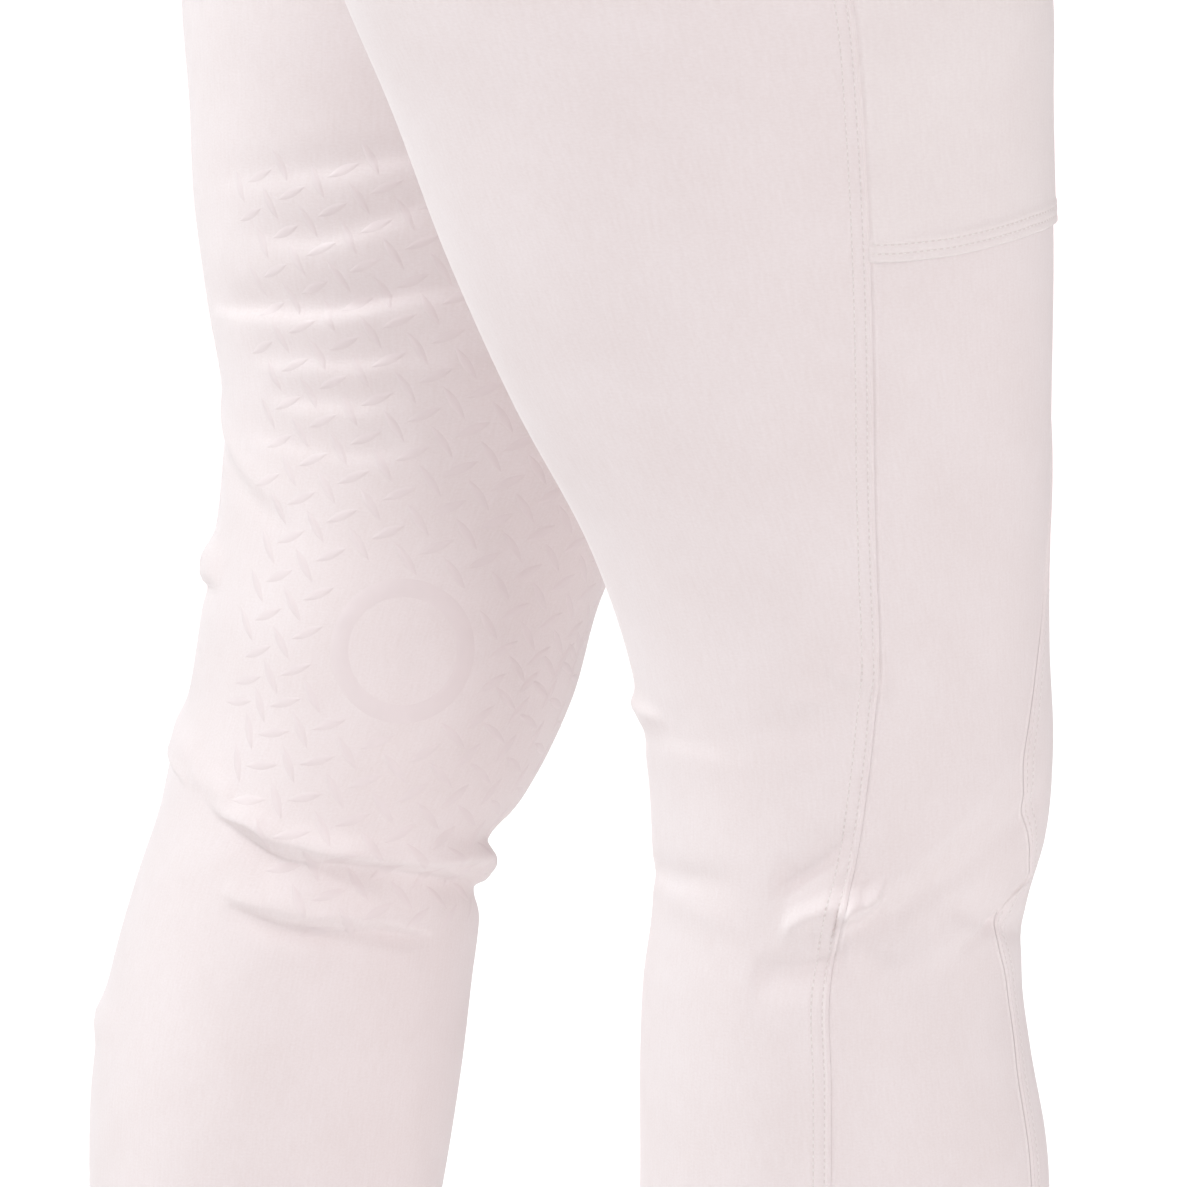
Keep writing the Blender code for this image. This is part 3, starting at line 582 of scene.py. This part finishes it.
def leg_panel(side, front, columns):
    """A leg panel's skin, its lift at the seams, and its degrees, on a fine grid."""
    height = [np.arange(low, high - spacing / 2, spacing) for low, high, spacing in ROW_STEPS[side]]
    # and three more where the panel sinks into the waist seam
    height = np.concatenate(height + [WAIST_SEAM + np.array([-0.0014, -0.0006, 0.0])])
    at_side, at_end = seam_edges(side, front, height)
    turn_in = 1 if front else -1
    side_pace, end_pace = (metres_a_degree(side, at, height)[:, None] for at in (at_side, at_end))
    above = height > CROTCH_HEIGHT
    edge = under_edge if front else lapped_edge
    steps = np.concatenate([[-TUCK], EDGE_STEPS]) if front else EDGE_STEPS
    # Above the crotch the panels end on the middle of the body, with no tuck: there the last
    # points are a tenth of a millimetre apart or more
    at_middle = np.maximum(steps, np.arange(len(steps)) * 0.0001)
    far_steps = np.where(above[:, None], at_middle, steps)[:, ::-1]
    near = at_side[:, None] + turn_in * steps / side_pace
    far = at_end[:, None] - turn_in * far_steps / end_pace
    share = np.linspace(0, 1, columns + 2)[1:-1]
    middle = near[:, -1:] + (far[:, :1] - near[:, -1:]) * share
    degrees = np.concatenate([near, middle, far], axis=1)
    skin = on_leg(side, degrees, height[:, None])
    skin[above, -1, 0] = 0.0
    skin[..., 0] = side * np.maximum(side * skin[..., 0], 0.0)
    plain = np.zeros(columns)
    lift = np.concatenate([edge(steps), plain, edge(steps[::-1])])[None, :]
    centre = np.concatenate([edge(steps), plain, under_edge(at_middle[::-1])])[None, :]
    lift = np.where(above[:, None], centre, lift)
    lift = lift - DITCH * (1 - smooth(WAIST_SEAM - height, 0.0, DITCH_WIDE))[:, None]
    out = outward(skin) * side * turn_in
    # Across the middle of the body the cloth faces straight forward or back
    out[above, -1, 0] = 0.0
    return {"skin": skin, "out": out, "lift": lift, "degrees": degrees, "height": height}


def turned_hem(grid, out):
    """Rows that fold a panel's lower edge up inside, as one long strip from the inside out."""
    # Height above the fold, and distance inward
    turn = ((HEM_TURN, -2.0 * CLOTH), (0.0010, -2.0 * CLOTH), (0.0002, -1.7 * CLOTH),
            (-0.0002, -1.0 * CLOTH), (-0.0001, -0.4 * CLOTH))
    rows = []
    for up, inward in turn:
        row = grid[0] + out[0] * inward
        row[:, 2] = HEM + up
        rows.append(row)
    return np.concatenate([np.stack(rows), grid], axis=0)


def cloth_uv(degrees, height):
    """The cloth's own metres: round the leg and along it."""
    return np.stack([np.radians(degrees) * PANEL_WIDTH, np.broadcast_to(height, degrees.shape)], axis=-1)


SIDES = ((RIGHT, "right"), (LEFT, "left"))
for side, word in SIDES:
    for front, part, columns in ((True, "front", 50), (False, "back", 200)):
        panel = leg_panel(side, front, columns)
        grid = panel["skin"] + panel["out"] * panel["lift"][..., None]
        hemmed = turned_hem(grid, panel["out"])
        # The cloth's own metres go on below the fold
        inside = HEM - np.array([HEM_TURN, 0.001, 0.0006, 0.0003, 0.0001])
        degrees = np.concatenate([np.repeat(panel["degrees"][:1], len(inside), axis=0),
                                  panel["degrees"]], axis=0)
        height = np.concatenate([inside, panel["height"]])
        piece = cloth_mesh(f"{part}_{word}_knit", hemmed, cloth_uv(degrees, height[:, None]), leg_knit)
        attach(piece, "root")
        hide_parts(f"{part}_{word}")

# --- Pocket -------------------------------------------------------------------------------
# A patch pocket of the same knit on the right thigh. Its back edge is caught in the side seam;
# its lower and front edges are turned under and held by two rows; the mouth has a wide hem.
POCKET_MOUTH = -0.165
POCKET_LIE = 0.0009  # its face above the panel
POCKET_EDGE = 108.0  # its front edge in degrees,
POCKET_SHARE = 0.8  # but at most this share of the panel's breadth
HEM_ROW_NEAR, HEM_ROW_FAR = 0.0030, 0.0059  # the rows of its lower edge
TURN_RISE, TURN_ROW_WIDE, TURN_ROW_DEEP = 0.0005, 0.0006, 0.00025  # its turned and sewn edges
EDGE_ROLL = 0.0010  # its free edges roll down by this much
POCKET_TUCK, SIDE_LIE, LEAST_LIE = 0.0006, 0.0001, 0.00015  # under the side seam's lap it lies flatter
MOUTH_HEM, MOUTH_RISE, MOUTH_ROW_DEEP = 0.018, 0.0006, 0.0003
POCKET_HEM = (
    # degrees, height
    (0.0, -0.3503), (28.0, -0.3506), (40.0, -0.3495), (54.0, -0.3469), (65.0, -0.3450),
    (77.0, -0.3441), (92.0, -0.3438), (110.0, -0.3440),
)
MAP_TOP, MAP_STEP = -0.02, 0.0007  # the grid of skin points that sewing and print are placed on
MAP_FROM, MAP_TO = -120.0, 301.0  # degrees, one by one


def skin_map(side):
    """The leg's skin and its outward directions on a regular grid, to place sewing and print on."""
    height = np.arange(HEM, MAP_TOP, MAP_STEP)
    degrees = np.arange(MAP_FROM, MAP_TO, 1.0)
    skin = on_leg(side, degrees[None, :], height[:, None])
    return height, degrees, skin, outward(skin) * side


skin_maps = {side: skin_map(side) for side in (RIGHT, LEFT)}


def on_map(side, degrees, height):
    """Points of the skin and the directions out of it, between the points of the map."""
    heights, turns, skin, out = skin_maps[side]
    degrees, height = np.broadcast_arrays(np.asarray(degrees, float), np.asarray(height, float))
    degrees = (degrees - MAP_FROM) % 360 + MAP_FROM
    row = np.clip((height - heights[0]) / (heights[1] - heights[0]), 0, len(heights) - 1.001)
    column = np.clip((degrees - turns[0]) / (turns[1] - turns[0]), 0, len(turns) - 1.001)
    i, j = row.astype(int), column.astype(int)
    a, b = (row - i)[..., None], (column - j)[..., None]
    found = []
    for grid in (skin, out):
        low = grid[i, j] * (1 - b) + grid[i, j + 1] * b
        high = grid[i + 1, j] * (1 - b) + grid[i + 1, j + 1] * b
        found.append(low * (1 - a) + high * a)
    return found[0], found[1] / np.linalg.norm(found[1], axis=-1, keepdims=True)


def turned_edge(off, near, far):
    """Rise of an edge that is turned under and sewn with two rows, by the distance from it."""
    rows = bell(off, near, TURN_ROW_WIDE) + bell(off, far, TURN_ROW_WIDE)
    return TURN_RISE * (1 - smooth(off, far + 0.001, far + 0.003)) - TURN_ROW_DEEP * rows


def rolled_down(off):
    """How far a free edge rolls down to the cloth that it lies on."""
    return -EDGE_ROLL * (1 - smooth(off, -0.0002, 0.0007))


hem_degrees, hem_heights = np.array(POCKET_HEM).T
pocket_deep = POCKET_MOUTH - POCKET_HEM[0][1]
# Rows of points, close together where an edge is turned or sewn
mouth_steps = np.concatenate([np.arange(0.0, 0.016, 0.003), np.arange(0.0164, 0.0216, 0.0004)])
inner = np.arange(0.0115, pocket_deep - 0.0225, 0.0016)
along = np.concatenate([EDGE_STEPS, inner, (pocket_deep - mouth_steps)[::-1]]) / pocket_deep
inner_share = np.linspace(0, 1, 62)[1:-1]


def pocket_grid():
    """The pocket's places in degrees and height, and how far they are above its lower edge."""
    # First the straight heights, to know how wide the pocket is there; then its curved hem
    rows = POCKET_HEM[0][1] + (POCKET_MOUTH - POCKET_HEM[0][1]) * along
    near, far = seam_edges(RIGHT, True, rows)
    edge = np.minimum(near + (far - near) * POCKET_SHARE, POCKET_EDGE)
    start = near[:, None] + (EDGE_STEPS - POCKET_TUCK) / metres_a_degree(RIGHT, near, rows)[:, None]
    end = edge[:, None] - EDGE_STEPS[::-1] / metres_a_degree(RIGHT, edge, rows)[:, None]
    middle = start[:, -1:] + (end[:, :1] - start[:, -1:]) * inner_share
    degrees = np.concatenate([start, middle, end], axis=1)
    hem = np.interp(degrees, hem_degrees, hem_heights)
    height = hem + (POCKET_MOUTH - hem) * along[:, None]
    return degrees, height, height - hem


pocket_degrees, pocket_height, above_hem = pocket_grid()
pace = metres_a_degree(RIGHT, pocket_degrees, pocket_height)
from_side = (pocket_degrees - pocket_degrees[:, :1]) * pace
from_front = (pocket_degrees[:, -1:] - pocket_degrees) * pace
below_mouth = POCKET_MOUTH - pocket_height
pocket_lift = POCKET_LIE + turned_edge(above_hem, HEM_ROW_NEAR, HEM_ROW_FAR)
pocket_lift = pocket_lift + turned_edge(from_front, ROW_NEAR, ROW_FAR)
pocket_lift = pocket_lift + rolled_down(above_hem) + rolled_down(from_front)
pocket_lift = pocket_lift - (POCKET_LIE - SIDE_LIE) * (1 - smooth(from_side, 0.0004, 0.0026))
pocket_lift = pocket_lift + MOUTH_RISE * (1 - smooth(below_mouth, MOUTH_HEM, MOUTH_HEM + 0.002))
mouth_row = MOUTH_ROW_DEEP * bell(below_mouth, MOUTH_HEM, TURN_ROW_WIDE)
pocket_lift = np.maximum(pocket_lift - mouth_row, LEAST_LIE)
skin, out = on_map(RIGHT, pocket_degrees, pocket_height)
# The same knit, painted a very little paler than the legs: painted light, for the fill light that falls
# on the pocket's face, and so that the pocket reads
pocket_painted_lighter_knit = knit_material("off_white_pocket_painted_lighter_knit", "#EEE5E4", "#E8DDDC")
pocket = cloth_mesh("pocket_right_knit", skin + out * pocket_lift[..., None],
                    cloth_uv(pocket_degrees, pocket_height), pocket_painted_lighter_knit)
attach(pocket, "root")
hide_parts("pocket_right")

# --- Waistband ----------------------------------------------------------------------------
# The same knit, doubled over a wide soft elastic: up the outside, over the top and down inside.
BAND_THICK = 0.0022
BAND_COLUMNS = 260
BAND_REACH, BAND_ROW = 0.12, 0.0023  # its mean radius and rows, for the cloth's own scale
BAND_STEP = 0.15  # the unit of the walks out from the body's middle
BAND_PUFF, BAND_RIPPLE, RIPPLES = 0.0005, 0.00012, 61
BAND_SUNK, BAND_SUNK_TO = 0.0006, 0.0016  # drawn in at its seam, as far up as this
FOLD_AT, FOLD_HIGH = WAIST_TOP - 0.0012, 0.0011
# Height and distance inward of each row of points
band_rows = [(z, 0.0) for z in np.linspace(WAIST_SEAM, FOLD_AT, 30)]
band_rows += [(FOLD_AT + FOLD_HIGH * math.sin(t), BAND_THICK / 2 * (1 - math.cos(t)))
              for t in np.linspace(0, math.pi, 9)[1:]]
band_rows += [(z, BAND_THICK) for z in np.linspace(WAIST_TOP - 0.0025, WAIST_SEAM, 24)]
band_height = np.array([z for z, _ in band_rows])[:, None]
band_in = np.array([inward for _, inward in band_rows])[:, None, None]
turn = np.linspace(0, 2 * math.pi, BAND_COLUMNS, endpoint=False)[None, :]
step = (BAND_STEP * np.cos(turn), BAND_STEP * np.sin(turn))
across, forward = walk_out((0.0, 0.0), step, np.minimum(band_height, WAIST_TOP))
ring = np.stack([across, forward, np.broadcast_to(band_height, across.shape)], axis=-1)
ring_out = np.stack([across, forward, np.zeros_like(across)], axis=-1)
ring_out /= np.linalg.norm(ring_out, axis=-1, keepdims=True)
# It swells softly between its edges, with fine ripples round it, and is drawn in at its seam
from_seam = (band_height - WAIST_SEAM)[..., None]
bow = np.sin(np.clip(from_seam / (WAIST_TOP - WAIST_SEAM), 0, 1) * math.pi)
is_outside = band_in < BAND_THICK / 4
swell = (BAND_PUFF * is_outside + BAND_RIPPLE * np.sin(turn * RIPPLES)[..., None]) * bow
sunk = BAND_SUNK * (1 - smooth(from_seam, 0.0, BAND_SUNK_TO)) * is_outside
ring = ring + ring_out * (swell - sunk - band_in)
up_cloth = np.cumsum(np.full(len(band_rows), BAND_ROW))[:, None]
band_uv = np.stack(np.broadcast_arrays(turn * BAND_REACH, up_cloth), axis=-1)
closing = np.concatenate([ring, ring[:, :1]], axis=1)
closing_uv = np.concatenate([band_uv, band_uv[:, :1] + (2 * math.pi * BAND_REACH, 0)], axis=1)
# The knit over elastic looks denser and a shade darker
band_knit = knit_material("off_white_band_knit", "#EDE4E2", "#E4DAD7")
waistband = cloth_mesh("waistband_knit", closing, closing_uv, band_knit)
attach(waistband, "root")
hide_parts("waistband")

# --- Sewing -------------------------------------------------------------------------------
# Off-white polyester thread in twin rows. Each stitch lies a little proud between two needle
# holes, where the thread dips and pulls the cloth in; the shade in each hole is painted on as a flat dark
# dot.
STITCH = 0.0024  # pitch along a seam
STITCH_LONG, STITCH_WIDE, STITCH_PROUD = 0.0012, 0.00056, 0.00022
STITCH_RIBS = ((-1.0, 0.35), (-0.7, 0.9), (0.0, 1.0), (0.7, 0.9), (1.0, 0.35))  # along, thickness
STITCH_SUNK = 0.00005
# Size of the flat dot of painted shade over each needle hole, and how far it stands off the knit
HOLE_SHADE_LONG, HOLE_SHADE_WIDE, HOLE_SHADE_LIFT = 0.0014, 0.0009, 0.00006
LOOK_ALONG = 0.0004  # a stitch's direction is taken between points this far to either side
ROW_PACE = 0.001  # between the points of a row's line, and left free at its ends
CROTCH_FREE = 0.004  # the forward seam's rows end this far below the crotch
HEM_ROW_LIFT, MOUTH_ROW_LIFT = 0.00005, 0.0003
POCKET_SEWN_FROM, POCKET_SEWN_TO = 0.4, 101.0  # degrees past the side seam, and degrees in all
POCKET_SEWN_UP = -0.338  # the height where the rows of its front edge begin
MOUTH_ROW_FREE = (2, 4)  # degrees left free at the ends of the mouth's row


def mottled(name, scale, first, second, roughness):
    """A material with small patches of two tones, so many to a metre; returned with its shader."""
    material, tree, surface = new_material(name)
    where = node(tree, "ShaderNodeTexCoord")
    patches = node(tree, "ShaderNodeTexNoise", {"Vector": where.outputs["Object"], "Scale": scale})
    two_tones(tree, surface, patches.outputs["Fac"], first, second)
    surface.inputs["Roughness"].default_value = roughness
    return material, surface


# Twisted polyester thread with a faint sheen: paler than the knit, so that the rows read
thread, surface = mottled("off_white_polyester_thread", 2500.0, "#E4DAD8", "#F3EDEB", 0.55)
surface.inputs["Sheen Weight"].default_value = 0.15
# Painted shade: flat dots a little darker than the knit, dead matt, laid over the needle holes where
# shade falls; they make the dashes between the stitches
hole_shade, _ = mottled("needle_hole_painted_shade", 1800.0, "#DCD0CE", "#E4D9D7", 0.95)


def ribbed(ribs):
    """Quads between ribs of five points, which follow each other in one list."""
    return np.array([(q, q + 1, q + 6, q + 5) for r in range(ribs - 1) for q in range(r * 5, r * 5 + 4)])


# One stitch is a half-round bar, thin at both ends; the painted shade of one needle hole is a flat dot of
# six corners
BAR = np.array([(share * STITCH_LONG / 2, thick * STITCH_WIDE / 2 * math.cos(t),
                 thick * STITCH_PROUD * math.sin(t) - STITCH_SUNK)
                for share, thick in STITCH_RIBS for t in np.linspace(0, math.pi, 5)])
BAR_FACES = ribbed(len(STITCH_RIBS))
DOT = np.array([(HOLE_SHADE_LONG / 2 * math.cos(t), HOLE_SHADE_WIDE / 2 * math.sin(t), HOLE_SHADE_LIFT)
                for t in np.linspace(0, 2 * math.pi, 6, endpoint=False)])
DOT_FACES = np.array([(0, 1, 2, 3), (0, 3, 4, 5)])


def read_off(values, run, at):
    """Points or directions given along a line, read off at other distances along it."""
    return np.stack([np.interp(at, run, values[:, i]) for i in range(3)], axis=1)


def along_line(line, out, pitch):
    """Places at even steps along a line: the point, the direction along it, and out of the cloth."""
    run = np.concatenate([[0], np.cumsum(np.linalg.norm(np.diff(line, axis=0), axis=1))])
    count = int(run[-1] / pitch)
    at = (np.arange(count) + 0.5) * run[-1] / count
    direction = read_off(line, run, at + LOOK_ALONG) - read_off(line, run, at - LOOK_ALONG)
    direction /= np.linalg.norm(direction, axis=1, keepdims=True)
    normal = read_off(out, run, at)
    normal -= direction * (normal * direction).sum(1, keepdims=True)
    normal /= np.linalg.norm(normal, axis=1, keepdims=True)
    return read_off(line, run, at), direction, normal


def copies(shape, faces, point, direction, normal):
    """Copies of a small shape (along, across, out) at each place, as points and faces."""
    side_on = np.cross(normal, direction)
    placed = (point[:, None] + shape[None, :, :1] * direction[:, None]
              + shape[None, :, 1:2] * side_on[:, None] + shape[None, :, 2:] * normal[:, None])
    offsets = (np.arange(len(point)) * len(shape))[:, None, None]
    return placed.reshape(-1, 3), (faces[None] + offsets).reshape(-1, faces.shape[1])


def small_mesh(name, points, faces, material):
    """Many small raised shapes as one piece; faces wind so that they face out in the frame."""
    mesh = bpy.data.meshes.new(name)
    mesh.from_pydata((points * TO_FRAME).tolist(), [], faces[:, ::-1].tolist())
    return add_piece(name, mesh, material)


def sown(name, shape, faces, places, material):
    """One piece with a copy of a small shape at all the places of several rows."""
    points, all_faces, count = [], [], 0
    for point, direction, normal in places:
        made, made_faces = copies(shape, faces, point, direction, normal)
        points.append(made)
        all_faces.append(made_faces + count)
        count += len(made)
    return small_mesh(name, np.concatenate(points), np.concatenate(all_faces), material)


def sewing(name, rows):
    """Stitches along rows, with flat dots of painted shade over the needle holes between them; a row is
    its points and the directions out.
    """
    stitches = [along_line(line, out, STITCH) for line, out in rows]
    hole_shade_places = [(point + direction * STITCH / 2, direction, normal) for point, direction, normal in stitches]
    made = [sown(f"{name}_stitches", BAR, BAR_FACES, stitches, thread),
            sown(f"{name}_needle_hole_painted_shade_dots", DOT, DOT_FACES, hole_shade_places, hole_shade)]
    for piece in made:
        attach(piece, "root")
    return made


def row_on(side, degrees, height, lift):
    """A row of sewing on a leg: its points, lifted off the skin, and the directions out."""
    skin, out = on_map(side, degrees, height)
    return skin + out * lift, out


def lapped_rows(side, seam, height, onto_back):
    """The two rows of a lapped seam; onto_back is 1 or -1, the way from it onto the back panel."""
    pace = metres_a_degree(side, seam, height)
    return [row_on(side, seam + onto_back * off / pace, height, float(lapped_edge(off)))
            for off in (ROW_NEAR, ROW_FAR)]


on_back_panel = {}
for side, word in SIDES:
    height = np.arange(HEM + ROW_PACE, WAIST_SEAM - ROW_PACE, ROW_PACE)
    at_side, _ = seam_edges(side, False, height)
    sewn = sewing(f"side_seam_{word}", lapped_rows(side, at_side, height, -1))
    height = np.arange(HEM + ROW_PACE, CROTCH_HEIGHT - CROTCH_FREE, ROW_PACE)
    _, at_end = seam_edges(side, False, height)
    sewn += sewing(f"forward_seam_{word}", lapped_rows(side, at_end + 360, height, 1))
    degrees = np.arange(-100.0, 261.0, 2.0)  # once round
    rows = [row_on(side, degrees, HEM + above, HEM_ROW_LIFT) for above in HEM_ROWS]
    on_back_panel[side] = sewn + sewing(f"hem_{word}", rows)

# The pocket's rows: along its lower edge, up its front edge, and one across the mouth's hem
seam_at = read(SIDE_SEAM, np.array([-0.35]))[0][0]
degrees = np.linspace(seam_at + POCKET_SEWN_FROM, POCKET_SEWN_TO, 90)
hem = np.interp(degrees, hem_degrees, hem_heights)
rows = [row_on(RIGHT, degrees, hem + off, POCKET_LIE + float(turned_edge(off, HEM_ROW_NEAR, HEM_ROW_FAR)))
        for off in (HEM_ROW_NEAR, HEM_ROW_FAR)]
height = np.linspace(POCKET_SEWN_UP, POCKET_MOUTH - ROW_PACE, 120)
near, far = seam_edges(RIGHT, True, height)
edge = np.minimum(near + (far - near) * POCKET_SHARE, POCKET_EDGE)
pace = metres_a_degree(RIGHT, edge, height)
rows += [row_on(RIGHT, edge - off / pace, height, POCKET_LIE + float(turned_edge(off, ROW_NEAR, ROW_FAR)))
         for off in (ROW_NEAR, ROW_FAR)]
degrees = np.linspace(near[-1] + MOUTH_ROW_FREE[0], edge[-1] - MOUTH_ROW_FREE[1], 70)
rows.append(row_on(RIGHT, degrees, POCKET_MOUTH - MOUTH_HEM, POCKET_LIE + MOUTH_ROW_LIFT))
pocket_sewing = sewing("pocket_right", rows)

# --- Grip print ---------------------------------------------------------------------------
# Silicone printed on the inner knee and thigh of each leg in low leaf shapes, as on tread
# plate, round a plain ring. It is clear and matt, so it shows by its edges and a faint gloss.
# Its places are forward and height on the left leg's inner side, laid flat. Both legs get it.
LEAF_LONG, LEAF_WIDE, LEAF_HIGH = 0.0136, 0.0040, 0.00018
LATTICE_ALONG, LATTICE_UP = 0.0176, 0.0143
LATTICE_LEAN = math.radians(-17.0)  # the lattice's rows sink towards the front
LEAF_TURN = math.radians(40.0)  # the two sorts of leaf lean this far to either side of the rows
LATTICE_AT = (-0.0829, -0.4482)  # forward and height of one leaf of the first sort
PRINT_TOP, PRINT_BOTTOM = -0.332, -0.603
PRINT_BACK = (
    # height, degrees
    (-0.610, 150.0), (-0.603, 175.0), (-0.584, 197.0), (-0.567, 211.0), (-0.551, 218.0),
    (-0.534, 226.0), (-0.502, 229.0), (-0.474, 229.0), (-0.454, 232.0), (-0.433, 234.0),
    (-0.384, 233.0), (-0.330, 236.0),
)
PRINT_FRONT = 98.0  # degrees; it also stays this far from the forward seam:
PRINT_OFF_SEAM = 9.0
SAG_FROM, SAG_DEPTH = -0.500, 0.050  # below this the rows sag between their ends
SAG_SLOPE, SAG_CURVE = 0.06, 4.2
RING_AT = (-0.0820, -0.5035)  # forward, height
RING_RADIUS, RING_WIDE, RING_HIGH = 0.0223, 0.0076, 0.00032
RING_CLEAR = RING_RADIUS + RING_WIDE / 2 + 0.0055  # leaves keep this far from its middle
LEAF_SUNK, RING_SUNK = 0.00008, 0.0001  # the edges of the print sink into the knit
INNER = 180.0

# Printed silicone, clear but matt: a hair darker and pinker than the knit, with a faint gloss
silicone, surface = mottled("printed_clear_silicone", 140.0, "#E5D9D9", "#EADEDE", 0.55)
surface.inputs["IOR"].default_value = 1.42
surface.inputs["Coat Weight"].default_value = 0.08
surface.inputs["Coat Roughness"].default_value = 0.35

# A leaf: a low mound with two pointed ends, fine enough to bend over a fold
leaf_share, leaf_across = np.meshgrid(np.linspace(-1, 1, 9), np.linspace(-1, 1, 5), indexing="ij")
leaf_wide = np.maximum(1 - np.abs(leaf_share) ** 1.8, 0.05)
leaf_high = LEAF_HIGH * (1 - leaf_across**4) * (1 - leaf_share**6) - LEAF_SUNK * leaf_across**4
LEAF = np.stack([leaf_share * LEAF_LONG / 2, leaf_across * leaf_wide * LEAF_WIDE / 2, leaf_high],
                axis=-1).reshape(-1, 3)
LEAF_FACES = ribbed(9)[:, [0, 3, 2, 1]]


def unrolled(side, forward, height):
    """Degrees round the leg of a place on the unrolled print, which is laid out on the left leg."""
    middle = read(LEGS[LEFT], height)[0]
    pace = metres_a_degree(side, np.full_like(height, INNER), height)
    return INNER - (forward - middle) / pace


def printed(side, forward, height, out_by):
    """Points of the print, standing out of the skin."""
    skin, out = on_map(side, unrolled(side, forward, height), height)
    return skin + out * out_by[..., None]


def lattice():
    """The middle of each leaf, laid flat, and its turn."""
    lean_cos, lean_sin = math.cos(LATTICE_LEAN), math.sin(LATTICE_LEAN)
    # More than enough places each way; those that lie off the print are left out later
    for i in range(-12, 13):
        for j in range(-16, 12):
            for kind in (0, 1):
                along, up = (i + 0.5 * kind) * LATTICE_ALONG, (j + 0.5 * kind) * LATTICE_UP
                forward = LATTICE_AT[0] + along * lean_cos - up * lean_sin
                height = LATTICE_AT[1] + along * lean_sin + up * lean_cos
                # The lower rows sag between their ends, where the knee bends
                low = float(smooth(SAG_FROM - height, 0.0, SAG_DEPTH))
                off = forward - LATTICE_AT[0]
                height += low * (SAG_SLOPE * off + SAG_CURVE * off**2)
                slope = lean_sin / lean_cos + low * (SAG_SLOPE + 2 * SAG_CURVE * off)
                yield forward, height, math.atan(slope) + (LEAF_TURN if kind == 0 else -LEAF_TURN)


def in_print(side, forward, height):
    """Whether a leaf's middle lies within the print's edges and off the ring."""
    degrees = unrolled(side, forward, np.array([height]))[0]
    seam_at = read(FORWARD_SEAM, np.array([height]))[0][0]
    first = max(PRINT_FRONT, seam_at + PRINT_OFF_SEAM)
    last = float(np.interp(height, *zip(*PRINT_BACK)))
    in_ring = math.hypot(forward - RING_AT[0], height - RING_AT[1]) < RING_CLEAR
    return not in_ring and PRINT_BOTTOM < height < PRINT_TOP and first < degrees < last


def grip_leaves(side, name):
    """The leaves of one leg's print as one piece."""
    points, faces = [], []
    for forward, height, turned in lattice():
        if in_print(side, forward, height):
            cos, sin = math.cos(turned), math.sin(turned)
            leaf_forward = forward + LEAF[:, 0] * cos - LEAF[:, 1] * sin
            leaf_height = height + LEAF[:, 0] * sin + LEAF[:, 1] * cos
            points.append(printed(side, leaf_forward, leaf_height, LEAF[:, 2]))
            faces.append(LEAF_FACES + len(LEAF) * len(faces))
    faces = np.concatenate(faces)
    return small_mesh(name, np.concatenate(points), faces[:, ::-1] if side == LEFT else faces, silicone)


def grip_ring(side, name):
    """The plain ring round the print's bare field."""
    turns, widths = np.linspace(0, 2 * math.pi, 121), np.linspace(-1, 1, 13)[:, None]
    reach = RING_RADIUS + RING_WIDE / 2 * widths
    forward, height = RING_AT[0] + reach * np.cos(turns), RING_AT[1] + reach * np.sin(turns)
    high = np.broadcast_to(RING_HIGH * (1 - np.abs(widths) ** 2.5) - RING_SUNK, forward.shape)
    points = printed(side, forward, height, high)
    return cloth_mesh(name, points, np.stack([forward, height], axis=-1), silicone)


for side, word in SIDES:
    leaves, ring_piece = grip_leaves(side, f"grip_print_{word}"), grip_ring(side, f"grip_ring_{word}")
    for piece in (leaves, ring_piece):
        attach(piece, "root")
    # The leg's panels as they were cut, with the sewing and the print that are on them: their cut sizes
    # and these pieces are looked up, and nothing more is done with them
    on_back = on_back_panel[side] + [leaves, ring_piece]
    for part, lies_on, with_it in (("front", [], []), ("back", [f"front_{word}_knit"], on_back)):
        flat, cut_area = PANEL_CUT[part, side]
        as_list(lies_on)
        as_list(with_it)
